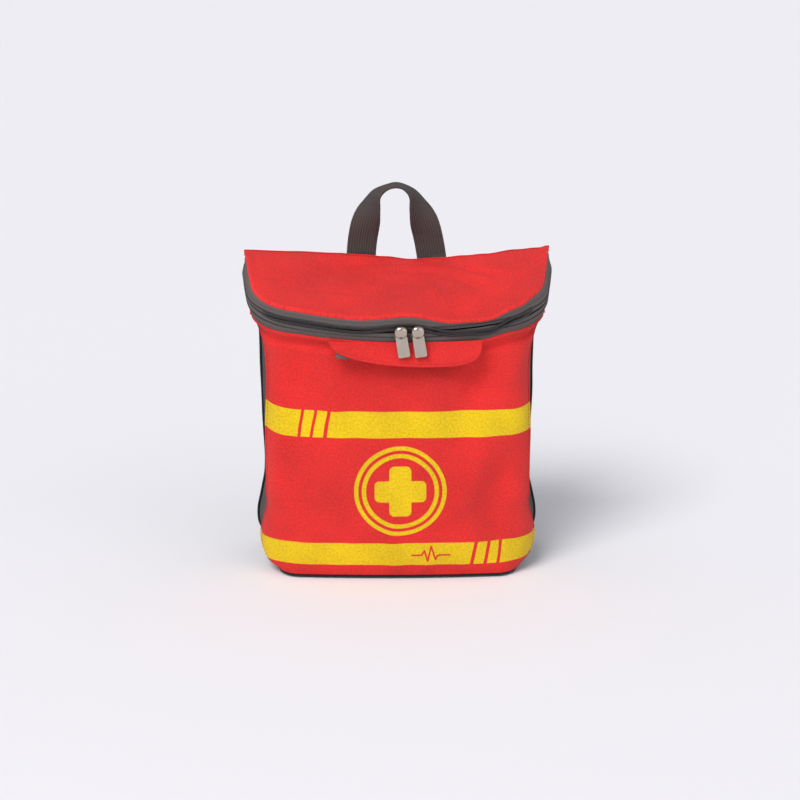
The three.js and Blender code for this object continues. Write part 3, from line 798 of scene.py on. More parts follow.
def edge_fade(grid_shape, rows_in, columns_in):
    """1 inside a grid, falling to 0 over the given number of rows and columns at its edges."""
    rows, columns = grid_shape[:2]
    r = np.minimum(np.arange(rows), np.arange(rows)[::-1]) / rows_in
    c = np.minimum(np.arange(columns), np.arange(columns)[::-1]) / columns_in
    return smoothstep(0, 1, r)[:, None] * smoothstep(0, 1, c)[None, :]


LID_UP = np.array([0, -SIN, COS])
LAST = len(TOP) - 1
INNER = {}  # the inner faces of the shell's panels, for its lining
SEAM = SIDE  # column of the left front seam; the right one mirrors it


def build_front():
    grid = shell_grid(0.0, 1.0, 150)[:, SEAM:LAST - SEAM + 1]
    normal = outward(grid)
    x, z = grid[..., 0], grid[..., 2]
    folds = relief(x, z, FRONT_FOLDS) + small_creases(x, z, 3, 150, 16, 0.6)
    fade = edge_fade(grid.shape, 10, 9)
    # the panel is turned in and topstitched beside its side seams
    arc = arc_uv(grid)[..., 0]
    reach = np.minimum(arc - arc[:, :1], arc[:, -1:] - arc)
    pinch = 1.1 * hill(reach, 1.6, 1.3) - 0.9 * hill(reach, 4.2, 1.0)
    # and rolled at its top, under the zip
    under = (1 - z / np.maximum(grid[-1:, :, 2], 1)) * 210
    roll = 2.0 * hill(under, 1.8, 1.9) - 3.0 * hill(under, 9, 3.4)
    grid = grid + normal * (folds * fade + pinch + roll)[..., None]
    flat = arc_uv(grid)
    # the print rises a little towards the side seams, where the cloth is pulled up
    height = grid[..., 2]
    pulled = 4.5 * smoothstep(-82, -118, flat[..., 0]) + 1.8 * smoothstep(92, 118, flat[..., 0])
    pulled = pulled * plateau(95, 125, 150, 175, height)
    uv = np.stack([flat[..., 0], height - pulled], axis=2)
    panel = bake(sheet_piece("front_panel_cloth", grid, "front", 1.5, (0, -1, 0), uv))
    done(panel, "shell", "red_fabric", "front_panel")
    INNER["front"] = grid - outward(grid) * LINING_IN
    height = float(flat[-1, 0, 1]) * MM
    rows, normals = [], []
    normal = outward(grid)
    for column in (5, -6):
        rows.append(grid[4:-6, column] + normal[4:-6, column] * 0.1)
        normals.append(normal[4:-6, column])
    rows.append(grid[-7, 6:-6] + normal[-7, 6:-6] * 0.1)
    normals.append(normal[-7, 6:-6])
    sewn = stitches("front_panel_stitching", rows, normals, "thread_red", 3.2, 2.3, 0.2)
    done(sewn, "shell", "red_fabric")
    return grid


def build_gussets():
    for name, first, last in (("left", 0, SEAM), ("right", LAST - SEAM, LAST)):
        grid = shell_grid(0.0, 1.0, 110)[:, first:last + 1]
        # finer across the gusset
        share = np.linspace(0, grid.shape[1] - 1, 40)
        low = np.floor(share).astype(int).clip(0, grid.shape[1] - 2)
        part = (share - low)[None, :, None]
        grid = grid[:, low] * (1 - part) + grid[:, low + 1] * part
        normal = outward(grid)
        y, z = grid[..., 1], grid[..., 2]
        fold = relief(y, z, GUSSET_FOLDS) + small_creases(y * 2.4, z, 11 + first, 60, 13, 0.3)
        fade = edge_fade(grid.shape, 9, 5)
        grid = grid + normal * (fold * fade)[..., None]
        sign = -1 if name == "left" else 1
        panel = bake(sheet_piece(f"side_gusset_{name}_cloth", grid, "gusset", 1.3, (sign, 0, 0)))
        done(panel, "shell", "grey_fabric", f"side_gusset_{name}")
        INNER[name] = grid - normal * LINING_IN
        wide = float(along_curve(grid[60])[-1]) * MM
        tall = float(along_curve(grid[:, 20])[-1]) * MM


LINING_IN = 2.3  # from the outer faces of the panels to the lining


def build_lining():
    """A thin lining that follows the inside of the front and both gussets."""
    parts = []
    for name, out in (("front", (0, -1, 0)), ("left", (-1, 0, 0)), ("right", (1, 0, 0))):
        grid = INNER[name][2:-1]
        if name == "left":
            grid = grid[:, :-1]
        if name == "right":
            grid = grid[:, 1:]
        parts.append(bake(sheet_piece(f"lining_{name}", grid, "lining", 0.5, out)))
    made = joined("lining_cloth", parts)
    done(made, "shell", "lining_fabric", "lining")


def back_half_width(z):
    top = TOP_POINTS[0, 2]
    shares = np.clip((np.asarray(z, float) - SHELL_FOOT) / (top - SHELL_FOOT), 0, 1)
    found = np.array([abs(shell_row(s)[0, 0]) for s in np.atleast_1d(shares)])
    return found if np.ndim(z) else found[0]


QUILTING = (-62, -31, 0, 31, 62)  # places across of the sewn lines in the padded back


def build_back():
    rows, columns = 130, 120
    z = np.linspace(SHELL_FOOT, HINGE_Z - 3.2, rows)
    half = back_half_width(z)
    # the top corners curl up with the lid
    t = np.linspace(-1, 1, columns)
    x = half[:, None] * t[None, :]
    lift = sag(x, 0) * smoothstep(200, 250, z)[:, None]
    # padded panel: soft channels between sewn lines
    channel = np.zeros_like(x)
    inner = smoothstep(0, 14, (half[:, None] - np.abs(x)))
    tall = plateau(8, 26, 196, 212, z)[:, None]
    for line in QUILTING:
        channel -= 2.1 * hill(x, line, 3.4)
    swell = 3.4 * inner * tall * (1 + 0.4 * channel)
    crease = small_creases(x, z[:, None], 29, 50, 14, 0.25) * inner
    y = BACK_Y + swell + crease * tall
    grid = np.stack([x, y, z[:, None] + lift], axis=2)
    panel = bake(sheet_piece("back_panel_cloth", grid, "gusset", 1.4, (0, 1, 0)))
    done(panel, "shell", "grey_fabric", "back_panel")
    rows_sewn = []
    for line in QUILTING:
        column = int(np.argmin(np.abs(grid[rows // 2, :, 0] - line)))
        keep = (grid[:, column, 2] > 22) & (grid[:, column, 2] < 200)
        rows_sewn.append(grid[keep, column] + [0, 0.1, 0])
    sewn = stitches("back_panel_stitching", rows_sewn, [(0, 1, 0)] * len(rows_sewn),
                    "thread_dark", 3.4, 2.4, 0.22)
    done(sewn, "shell", "grey_fabric")


def build_base():
    ring = shell_row(0.0)
    outline = np.column_stack([ring[:, 0] * 0.965, np.minimum(ring[:, 1], 51) * 0.96,
                               np.zeros(len(ring))])
    count = 26
    grid = []
    for share in np.linspace(0, 1, count):
        line = outline.copy()
        line[:, 1] = outline[0, 1] + (outline[:, 1] - outline[0, 1]) * share
        grid.append(line)
    grid = np.array(grid)
    # flat where it stands, turned up at the seam
    edge = smoothstep(0.9, 1.0, np.linspace(0, 1, count))[:, None]
    grid[..., 2] = 0.1 + 2.4 * edge
    panel = bake(sheet_piece("base_panel_cloth", grid, "gusset", 1.6, (0, 0, -1)))
    done(panel, "shell", "grey_fabric", "base_panel")


def build_piping():
    # round the back panel, following its curling corners
    z = np.linspace(5, HINGE_Z - 6, 90)
    x = back_half_width(z) + 0.7
    z = z + 8 * smoothstep(205, 250, z)
    for name, sign in (("left", -1), ("right", 1)):
        wobble = 0.25 * np.sin(z / 19.0 + sign) + 0.15 * np.sin(z / 7.3 + 2 * sign)
        points = np.stack([sign * (x + wobble), np.full(len(x), BACK_Y - 0.8), z], axis=1)
        cord = tube(f"piping_{name}_cord", points, 1.3, "piping", 12)
        done(cord, "shell", "dark_trim", f"piping_{name}")
    grid = shell_grid(0.0, 1.0, 110)
    for name, column in (("left", SEAM), ("right", LAST - SEAM)):
        points = grid[:, column] + outward(grid)[:, column] * 0.3
        cord = tube(f"front_seam_piping_{name}", points[1:-1], 0.7, "gusset", 10)
        done(cord, "shell", "dark_trim")
    ring = shell_row(0.0)
    normal = np.stack([TOP[:, 2], -TOP[:, 3]], axis=1)
    foot = np.column_stack([ring[:, :2] - normal * 0.9, np.full(len(ring), 2.6)])
    foot = foot[(foot[:, 1] < BACK_Y - 4)]
    cord = tube("base_piping_cord", foot, 1.0, "piping", 12)
    done(cord, "shell", "dark_trim", "base_piping")


# ---- lid and zip ---------------------------------------------------------------------------
RIM_LINE = whole_outline(start=RIM_END, **RIM)


def rim_grid(section):
    """A strip along the rim: section is a list of (outward offset, level) pairs."""
    rows = []
    for offset, level in section:
        share = smoothstep(-1, -6, level) * (1 - 0.6 * smoothstep(-12, -19, level))
        offset = offset + share * flare(RIM_LINE[:, 1])
        rows.append(on_lid(RIM_LINE[:, 0] + offset * RIM_LINE[:, 2],
                           RIM_LINE[:, 1] + offset * RIM_LINE[:, 3], level))
    return np.array(rows)


LID_FOLDS = [  # height, x, distance from the hinge, half width, half length, turn
    (2.2, 40, 32, 5, 30, -44), (-2.6, 50, 44, 6, 30, -40), (2.0, 62, 40, 5, 28, -50),
    (-1.8, 74, 34, 6, 24, -56), (-3.0, 50, 92, 11, 22, 14), (-1.4, 14, 30, 26, 6, 6),
    (1.5, 30, 70, 7, 26, -20), (-1.4, -70, 40, 14, 24, 32), (1.3, -40, 84, 26, 7, 8),
    (-1.3, -96, 50, 7, 22, -20)]


def lid_wrinkles(x, u):
    return relief(x, u, LID_FOLDS) + 0.6 * small_creases(x, u * 1.7, 17, 46, 15, 0.35)


def build_lid():
    outline = whole_outline(start=1.0, **RIM)
    count = 64
    rows = []
    for share in np.linspace(0.0, 1.0, count) ** 0.85:
        x = outline[:, 0]
        u = 0.6 + (outline[:, 1] - 0.6) * share
        crown = 2.6 * np.sin(math.pi * np.clip(u / 124, 0, 1)) * (1 - (x / 134) ** 2)
        inner = smoothstep(0, 10, outline[:, 1] - u) * smoothstep(0, 8, u)
        rows.append(on_lid(x, u, crown + lid_wrinkles(x, u) * inner))
    # the cloth rolls over the edge and is sewn to the zip
    for offset, level in ((0.5, -0.15), (1.0, -0.7), (1.25, -1.5), (1.1, -2.3), (0.7, -2.9)):
        rows.append(on_lid(outline[:, 0] + offset * outline[:, 2],
                           outline[:, 1] + offset * outline[:, 3], level))
    grid = np.array(rows)
    plan = np.stack([np.broadcast_to(outline[:, 0], grid.shape[:2]), -grid[..., 1]], axis=2)
    cloth = bake(sheet_piece("lid_cloth", grid, "red", 1.3, (0, -0.2, 1), plan))
    done(cloth, "lid", "red_fabric", "lid_panel")
    inner = np.array(rows[:count])[1:-3] - LID_UP * LINING_IN
    under = bake(sheet_piece("lid_lining_cloth", inner, "lining", 0.5, (0, 0, 1)))
    done(under, "lid", "lining_fabric", "lid_lining")
    edge = rim_grid([(-2.6, 0.12)])[0]
    sewn = stitches("lid_edge_stitching", [edge], [LID_UP], "thread_red", 3.2, 2.3, 0.2, -0.1)
    done(sewn, "lid", "red_fabric")
    # the fold that joins the lid to the back
    x = np.linspace(-129.5, 129.5, 120)
    inset, bend = 1.3, 1.5
    rows = []
    for angle in np.linspace(-0.15, math.pi / 2 + 0.35, 12):
        y = BACK_Y - inset + bend * math.cos(angle)
        z = HINGE_Z - inset + bend * math.sin(angle)
        rows.append(np.stack([x, np.full(len(x), y), z + sag(x, 0)], axis=1))
    grid = np.array(rows)
    below = grid[0] + [0, -0.1, -3.5]
    grid = np.vstack([below[None], grid])
    fold = bake(sheet_piece("lid_fold_cloth", grid, "red", 0.9, (0, 1, 0.5)))
    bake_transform(fold)


UPPER = PARTING + PARTING_GAP / 2
LOWER = PARTING - PARTING_GAP / 2


def tape_section(low, high, steps=8):
    level = np.linspace(low, high, steps)
    bulge = 0.5 * np.sin(math.pi * np.linspace(0, 1, steps))
    return [(1.0 + b, w) for b, w in zip(bulge, level)]


def build_zip():
    for name, body, low, high in (("upper", "lid", UPPER, UPPER + TAPE_HEIGHT + 0.6),
                                  ("lower", "shell", LOWER - TAPE_HEIGHT - 0.3, LOWER)):
        section = tape_section(low, high)
        # its sewn edge runs on behind the red cloth
        if name == "upper":
            section += [(0.2, high + 0.5), (-0.6, high + 0.9), (-1.5, high + 1.0)]
        else:
            section = [(-0.8, low - 2.8), (-0.5, low - 1.5), (0.2, low - 0.6)] + section
        grid = rim_grid(section)
        tape = bake(sheet_piece(f"zip_tape_{name}_cloth", grid, "tape", 1.1, (0, -1, 0)))
        done(tape, body, "grey_fabric", f"zip_tape_{name}")
        # the length of the rim
        long = float(along_curve(RIM_LINE[:, :2])[-1])
        # a sewn line near the edge that meets the red cloth, and a raised guide by the coil
        level = high - 1.9 if name == "upper" else low + 1.9
        row = rim_grid([(1.52, level)])[0]
        sewn = stitches(f"zip_tape_{name}_stitching", [row], [rim_normals()], "thread_dark",
                        2.6, 1.9, 0.17)
        done(sewn, body, "grey_fabric")
        sign = 1 if name == "upper" else -1
        inner = UPPER if name == "upper" else LOWER
        build_coil(name, body, inner, sign)
        guide = rim_grid([(1.75, inner + sign * 3.3)])[0]
        cord = tube(f"zip_guide_{name}", guide[1:-1], 0.42, "teeth", 6)
        done(cord, body, "dark_trim")


def rim_normals():
    return np.stack([RIM_LINE[:, 2], -RIM_LINE[:, 3] * COS, -RIM_LINE[:, 3] * SIN], axis=1)


def build_coil(name, body, inner, sign):
    """One row of coil teeth: rounded bars side by side, half a pitch off the other row's."""
    pitch = 1.35
    line = rim_grid([(0.0, 0.0)])[0]
    distance = along_curve(line)
    normals = rim_normals()
    count = int(distance[-1] / pitch) - 2
    points, faces = [], []
    profile = [(-0.12, 1.35), (0.4, 1.25), (1.3, 1.3), (2.0, 1.5), (2.3, 2.0), (2.0, 2.5),
               (1.3, 2.75), (0.4, 2.7), (-0.12, 2.4)]
    bar = capped_faces(4, len(profile))
    for k in range(count):
        at = (k + 1 + (0.5 if sign > 0 else 0.0)) * pitch
        where = sample(line, distance, at)
        out = sample(normals, distance, at)
        out /= np.linalg.norm(out)
        run = np.cross(LID_UP, out)
        faces += [[len(points) + j for j in face] for face in bar]
        for side, scale in ((-0.56, 0.82), (-0.34, 1.0), (0.34, 1.0), (0.56, 0.82)):
            for level, offset in profile:
                level = 1.1 + (level - 1.1) * scale
                offset = 2.0 + (offset - 2.0) * scale
                points.append(where + run * side * pitch * 0.84 + out * offset
                              + LID_UP * (inner + sign * level))
    coil = make_mesh(f"zip_teeth_{name}_coil", points, faces, "teeth")
    fix_normals(coil.data)
    done(coil, body, "dark_trim", f"zip_teeth_{name}")


# ---- sliders and pulls ---------------------------------------------------------------------
SLIDER = dict(length=12.4, height=9.0, plate=1.2, outside=3.5, inside=-1.6)
SLIDER_AT = {"left": 1.8, "right": 15.0}
BRIDGE_RISE = 1.1
PULL = dict(width=10.2, length=19.0, thick=2.2, bar=1.2, lean=9.0)


def slider_frame(along):
    """Millimetre matrix: x along the zip, y outwards, z square to the lid."""
    angle = along / RIM["radius"]
    out = Vector((math.sin(angle), -COS * math.cos(angle), -SIN * math.cos(angle)))
    level = Vector((0, -SIN, COS))
    x = out.cross(level)
    u = RIM["depth"] - RIM["radius"] * (1 - math.cos(angle))
    across = RIM["radius"] * math.sin(angle)
    origin = Vector((across, BACK_Y - u * COS - PARTING * SIN,
                     HINGE_Z - u * SIN + PARTING * COS))
    matrix = Matrix((x, out, level)).transposed().to_4x4()
    matrix.translation = origin * MM
    return matrix


def rounded(half_x, half_y, radius, steps=5):
    """A rounded rectangle's outline."""
    loop = []
    for cx, cy, first in ((1, 1, 0), (-1, 1, 90), (-1, -1, 180), (1, -1, 270)):
        for k in range(steps + 1):
            a = math.radians(first + 90 * k / steps)
            loop.append((cx * (half_x - radius) + radius * math.cos(a),
                         cy * (half_y - radius) + radius * math.sin(a)))
    return loop


def dome(name, middle, half, place):
    """A smooth, squarish cap over the slider's bridge."""
    rings, count = 14, 28
    points = []
    for i in range(rings + 1):
        lift = math.pi * i / rings
        for k in range(count):
            turn = 2 * math.pi * k / count
            flat = [math.sin(lift) * math.cos(turn), math.cos(lift),
                    math.sin(lift) * math.sin(turn)]
            points.append([m + h * math.copysign(abs(f) ** 0.8, f)
                           for m, h, f in zip(middle, half, flat)])
    made = make_mesh(name, points, grid_faces(rings + 1, count, closed=True), "nickel")
    made.data.transform(place)
    fix_normals(made.data, merge=True)
    return made


# a shape drawn in x and y is stood up: drawing y becomes level, drawing z becomes inwards
STAND = Matrix(((1, 0, 0, 0), (0, 0, -1, 0), (0, 1, 0, 0), (0, 0, 0, 1)))
BODY_SHARE = 0.84  # of the slider's full outline


def build_slider(side):
    place = slider_frame(SLIDER_AT[side])
    half, tall = SLIDER["length"] / 2, SLIDER["height"] / 2
    point = 1 if side == "left" else -1
    nose = [(-half, -tall * 0.62), (-half * 0.55, -tall), (half * 0.7, -tall), (half, -tall * 0.8),
            (half, tall * 0.8), (half * 0.7, tall), (-half * 0.55, tall), (-half, tall * 0.62)]
    nose = [(point * x * BODY_SHARE, y * BODY_SHARE) for x, y in nose]
    if point < 0:
        nose = nose[::-1]
    parts = []
    # the plates, neck and bridge take the nickel painted darker as shade
    for name, middle in (("face", SLIDER["outside"] + SLIDER["plate"] / 2),
                         ("rear", SLIDER["inside"] - SLIDER["plate"] / 2)):
        matrix = place @ Matrix.Translation((0, middle * MM, 0)) @ STAND
        parts.append(flat_shape(f"slider_{side}_{name}", nose, [], SLIDER["plate"], 0.32,
                                "nickel_painted_shade", matrix))
    span = SLIDER["outside"] - SLIDER["inside"]
    middle = (SLIDER["outside"] + SLIDER["inside"]) / 2
    neck = flat_shape(f"slider_{side}_neck", rounded(2.4, span / 2 + 0.3, 0.3), [], 0.6, 0.15,
                      "nickel_painted_shade", place @ Matrix.Translation((0, middle * MM, 0)))
    parts.append(neck)
    # the bridge: a domed half ring over the pull's bar
    face = SLIDER["outside"] + SLIDER["plate"]
    ring, steps = 2.8, 24
    arch = [(0, face - 0.3, -ring)]
    for k in range(steps + 1):
        a = math.pi * k / steps
        arch.append((0, face + BRIDGE_RISE * (0.2 + 0.8 * math.sin(a) ** 0.4)
                     + ring * math.sin(a), -ring * math.cos(a)))
    arch.append((0, face - 0.3, ring))
    centres = np.array(arch, float)
    widths = np.tile([1.0, 0.0, 0.0], (len(arch), 1))
    bridge = strap_mesh(f"slider_{side}_bridge", centres, widths, 3.5, 1.15, "nickel_painted_shade", 0.12)
    bridge.data.transform(place)
    parts.append(bridge)
    parts.append(dome(f"slider_{side}_dome", (0, face + 1.6, 2.4), (5.4, 3.2, 5.2), place))
    made = joined(f"slider_{side}_body", parts)
    auto_smooth(made, 40)
    done(made, f"slider_{side}", "nickel", f"slider_{side}")


def build_pull(side):
    place = slider_frame(SLIDER_AT[side])
    pivot = place @ Vector((0, (SLIDER["outside"] + SLIDER["plate"] + BRIDGE_RISE) * MM, 0))
    half = PULL["width"] / 2
    low = -PULL["length"]
    corner = 1.8
    top = PULL["bar"]
    shoulder = 0.8
    outline = [(-half + shoulder, top), (-half + 0.25, top - shoulder)]
    for sign, first in ((-1, 180), (1, 270)):
        for k in range(7):
            a = math.radians(first + 15 * k)
            outline.append((sign * (half - corner) + corner * math.cos(a),
                            low + corner + corner * math.sin(a)))
    outline += [(half - 0.25, top - shoulder), (half - shoulder, top)]
    tilt = Matrix.Rotation(-math.radians(PULL["lean"]), 4, "Y")
    matrix = Matrix.Translation(pivot) @ tilt @ STAND
    made = flat_shape(f"pull_{side}_plate", outline, [], PULL["thick"], 0.9, "nickel",
                      matrix, 4)
    auto_smooth(made, 30)
    done(made, f"pull_{side}", "nickel", f"pull_{side}")


# ---- front tab -----------------------------------------------------------------------------
TAB = dict(top=205.6, y=-59.5, radius=300.0)
TAB_EDGE = [(-57.0, 1.0), (-52.0, 8.0), (-46.0, 11.0), (-34.0, 14.2), (-18.0, 17.0), (0.0, 18.8),
            (20.0, 20.2), (44.0, 20.0), (56.0, 18.2), (63.0, 14.8), (67.0, 10.0), (67.6, 5.0)]


def tab_depth(x):
    xs, zs = np.array(TAB_EDGE).T
    return np.interp(x, xs, zs)


def tab_surface(x, down, out=0.0):
    """Points of the tab: down in millimetres from its sewn edge, out in front of it."""
    curve = TAB["y"] + TAB["radius"] - np.sqrt(TAB["radius"] ** 2 - x ** 2)
    lip = -4.0 * smoothstep(2, 20, down) + 0.7 * np.sin(x / 15.0) * smoothstep(2, 16, down)
    return np.stack([x, curve - out + lip, TAB["top"] - down], axis=-1)


def build_tab():
    xs = np.linspace(TAB_EDGE[0][0], TAB_EDGE[-1][0], 140)
    shares = np.linspace(0, 1, 26)
    x, share = np.meshgrid(xs, shares)
    down = share * tab_depth(x)
    puff = 0.5 * np.sin(math.pi * share) ** 0.5
    grid = tab_surface(x, down, puff)
    uv = np.stack([x, -down], axis=2)
    cloth = bake(sheet_piece("front_tab_cloth", grid, "red", 1.5, (0, -1, 0), uv, bevel=0.35))
    done(cloth, "front_tab", "red_fabric", "front_tab")
    xs = np.linspace(-49, 64, 120)
    row = tab_surface(xs, np.maximum(tab_depth(xs) - 2.6, 2), 0.62)
    sewn = stitches("front_tab_stitching", [row], [(0, -1, 0)], "thread_red", 3.0, 2.2, 0.2)
    done(sewn, "front_tab", "red_fabric")
    xs = np.linspace(-50.4, 64, 60)
    x, down = np.meshgrid(xs, np.linspace(2.6, 14.0, 16))
    grid = tab_surface(x, down, -1.9)
    uv = np.stack([x, -down], axis=2)
    backing = bake(sheet_piece("tab_backing_cloth", grid, "tape", 0.9, (0, -1, 0), uv))
    done(backing, "front_tab", "grey_fabric", "tab_backing")


# ---- carry handle --------------------------------------------------------------------------
HANDLE = dict(half=30.5, width=25.0, foot=247.0, y=58.0, height=70.0, thick=1.9)


def build_handle():
    half, foot = HANDLE["half"], HANDLE["foot"]
    peak = foot + (HANDLE["height"] - 2.4) * 4 / 3
    knots = np.array([(-half, foot), (-half * 0.79 - 3.5, peak), (half * 0.79 - 3.5, peak),
                      (half, foot)])
    plan = bezier(knots, 400)
    # its top is flatter than a plain arch
    below = plan[:, 1].max() - plan[:, 1]
    spread = 1 + 0.13 * hill(below, 6, 7.0)
    bow = 4.6 * plateau(0, 6, 14, 45, plan[:, 1] - foot)
    centres = resample(np.stack([plan[:, 0] * spread + 2.5 * np.exp(-below / 9),
                                 HANDLE["y"] + bow, plan[:, 1]], axis=1), 90)
    share = np.linspace(0, 1, 90)
    twist = smoothstep(0.3, 0.95, 1 - np.abs(2 * share - 1)) * math.pi / 2
    along = tangents(centres)
    flat = np.cross(along, [0.0, 1.0, 0.0])
    flat /= np.linalg.norm(flat, axis=1, keepdims=True)
    across = flat * np.cos(twist)[:, None] + np.array([0, 1, 0]) * np.sin(twist)[:, None]
    made = strap_mesh("carry_handle_webbing", centres, across, HANDLE["width"],
                      HANDLE["thick"], "webbing", 0.25)
    done(made, "carry_handle", "grey_fabric", "carry_handle")
    length = float(along_curve(centres)[-1])
    # its sewn ends on the back, over a wide patch
    low, high = 226, 242
    for side, sign in (("left", -1), ("right", 1)):
        z = np.linspace(223.5, 247.8, 14)
        end = np.stack([np.full(14, sign * half), np.full(14, HANDLE["y"] - 0.05), z], axis=1)
        sewn = strap_mesh(f"handle_end_{side}", end, np.tile([1.0, 0, 0], (14, 1)),
                          HANDLE["width"] + 0.3, 2.0, "webbing", 0.1)
        done(sewn, "shell", "grey_fabric")
        left, right = sign * half - 9.5, sign * half + 9.5
        face = HANDLE["y"] + 1.1
        corners = [(left, face, low), (right, face, low), (right, face, high), (left, face, high)]
        order = ((0, 1), (1, 2), (2, 3), (3, 0), (0, 2), (3, 1))
        rows = [line_mm(corners[a], corners[b]) for a, b in order]
        thread = stitches(f"handle_end_stitching_{side}", rows, [(0, 1, 0)] * 6, "thread_dark",
                          2.5, 1.9, 0.2)
        done(thread, "shell", "grey_fabric")
    x = np.linspace(-58, 58, 60)
    z = np.linspace(222, 245.4, 16)
    gx, gz = np.meshgrid(x, z)
    grid = np.stack([gx, 56.6 + 0.25 * np.sin(gx / 11), gz], axis=2)
    patch = bake(sheet_piece("strap_patch_cloth", grid, "patch", 1.2, (0, 1, 0), bevel=0.3))
    done(patch, "shell", "grey_fabric", "strap_patch")


def line_mm(first, last, count=8):
    return np.linspace(np.array(first, float), np.array(last, float), count)


# ---- shoulder straps -----------------------------------------------------------------------
STRAP = dict(half=36.0, spread=12.0, top=236.0, width=44.0, thick=8.0, web=20.0, bow=14.0,
             foot_y=59.4, foot_z=-212.0, lock=60.0, pad_from=79.0, pad_to=164.0)
BOW = math.radians(STRAP["bow"])
UP = np.array([0, math.sin(BOW), math.cos(BOW)])
OUT = np.array([0, math.cos(BOW), -math.sin(BOW)])
ACROSS = np.array([1.0, 0, 0])


def on_strap(along, out=0.0, x=0.0):
    return np.array([0, STRAP["foot_y"], STRAP["foot_z"]]) + UP * along + OUT * out + ACROSS * x


def strap_place(sign):
    """Millimetre points of a strap's own frame to the bag's."""
    turn = np.array(Matrix.Rotation(-sign * math.radians(STRAP["spread"]), 3, "Y"))

    def place(points):
        return np.asarray(points) @ turn.T + [sign * STRAP["half"], 0, STRAP["top"]]
    return place


def placed_way(place, way):
    """A direction in a strap's own frame, turned to the bag's."""
    return place([way])[0] - place([[0, 0, 0]])[0]


def pad_path():
    straight = np.array([on_strap(a) for a in np.linspace(STRAP["pad_from"], STRAP["pad_to"], 60)])
    top = np.array([0, BACK_Y + 2.6, 0])
    knots = [straight[-1], straight[-1] + UP * 34, top + [0, 30, -3], top]
    curved = bezier(knots, 90)
    return resample(np.vstack([straight, curved[1:]]), 120)


def build_pad(side, sign, place):
    """A stuffed pad: a crowned section swept along the strap, pulled in at its bound edges."""
    path = pad_path()
    along = tangents(path)
    face = np.cross(along, ACROSS)
    distance = along_curve(path)
    length = distance[-1]
    ends = np.minimum(distance, 9 + (length - distance) * 1.5)
    half = STRAP["width"] / 2 * np.sqrt(np.clip(1 - (1 - np.clip(ends / 12, 0, 1)) ** 2 * 0.42,
                                                0, 1))
    tall = STRAP["thick"] / 2 * (0.35 + 0.65 * smoothstep(0, 11, ends))
    count = 44
    turn = np.linspace(0, 2 * math.pi, count, endpoint=False)
    wide = np.sign(np.cos(turn)) * np.abs(np.cos(turn)) ** 0.55
    high = np.sign(np.sin(turn)) * np.abs(np.sin(turn)) ** 0.8
    # the foam puckers a little where the strap bends
    bend = np.linalg.norm(np.gradient(along, axis=0), axis=1)
    bend = bend / bend.max()
    pucker = 0.45 * np.sin(distance / 3.1)[:, None] * bend[:, None] * (high[None, :] < 0)
    soft = np.random.default_rng(5 + int(sign))
    dents = np.zeros((len(path), count))
    for _ in range(26):
        dents += soft.normal() * 0.16 * ridge(
            np.repeat(distance[:, None], count, axis=1), half[:, None] * wide[None, :],
            soft.uniform(0, length), soft.uniform(-20, 20), soft.uniform(4, 10),
            soft.uniform(5, 14), soft.uniform(-60, 60))
    height = tall[:, None] * high[None, :] + (pucker + dents) * np.abs(high)[None, :]
    x = half[:, None] * wide[None, :]
    grid = path[:, None] + ACROSS * x[..., None] + face[:, None] * height[..., None]
    faces = capped_faces(len(path), count)
    uv = np.stack([x, np.repeat(distance[:, None], count, axis=1)], axis=2)
    points = place(grid.reshape(-1, 3))
    pad = make_mesh(f"strap_pad_{side}_cushion", points, faces, "gusset", uv.reshape(-1, 2))
    fix_normals(pad.data)
    done(pad, "shell", "grey_fabric", f"strap_pad_{side}")
    # bound edge all round
    edge = [path + ACROSS * half[:, None], (path - ACROSS * half[:, None])[::-1]]
    loop = np.vstack([edge[0][1:-1], edge[1][1:-1], edge[0][1:2]])
    cord = tube(f"strap_pad_{side}_binding", place(loop), 1.15, "piping", 8)
    done(cord, "shell", "dark_trim")
    # webbing down the middle of its outer side
    outer = path - face * (tall + 0.55)[:, None]
    if (face[0] @ OUT) > 0:
        outer = path + face * (tall + 0.55)[:, None]
    web = outer[24:-12]
    strip = strap_mesh(f"strap_pad_{side}_webbing", place(web),
                       np.tile(placed_way(place, ACROSS), (len(web), 1)),
                       STRAP["web"], 1.3, "webbing", 0.1)
    done(strip, "shell", "grey_fabric")
    float(along_curve(web)[-1]) * MM


def straight_web(name, place, first, last, out, wave=0.0):
    a = np.linspace(first, last, 30)
    centres = np.array([on_strap(k, out + wave * math.sin((k - first) / 9.0)) for k in a])
    ways = np.tile(placed_way(place, ACROSS), (len(a), 1))
    return strap_mesh(name, place(centres), ways, STRAP["web"], 1.4, "webbing", 0.1)


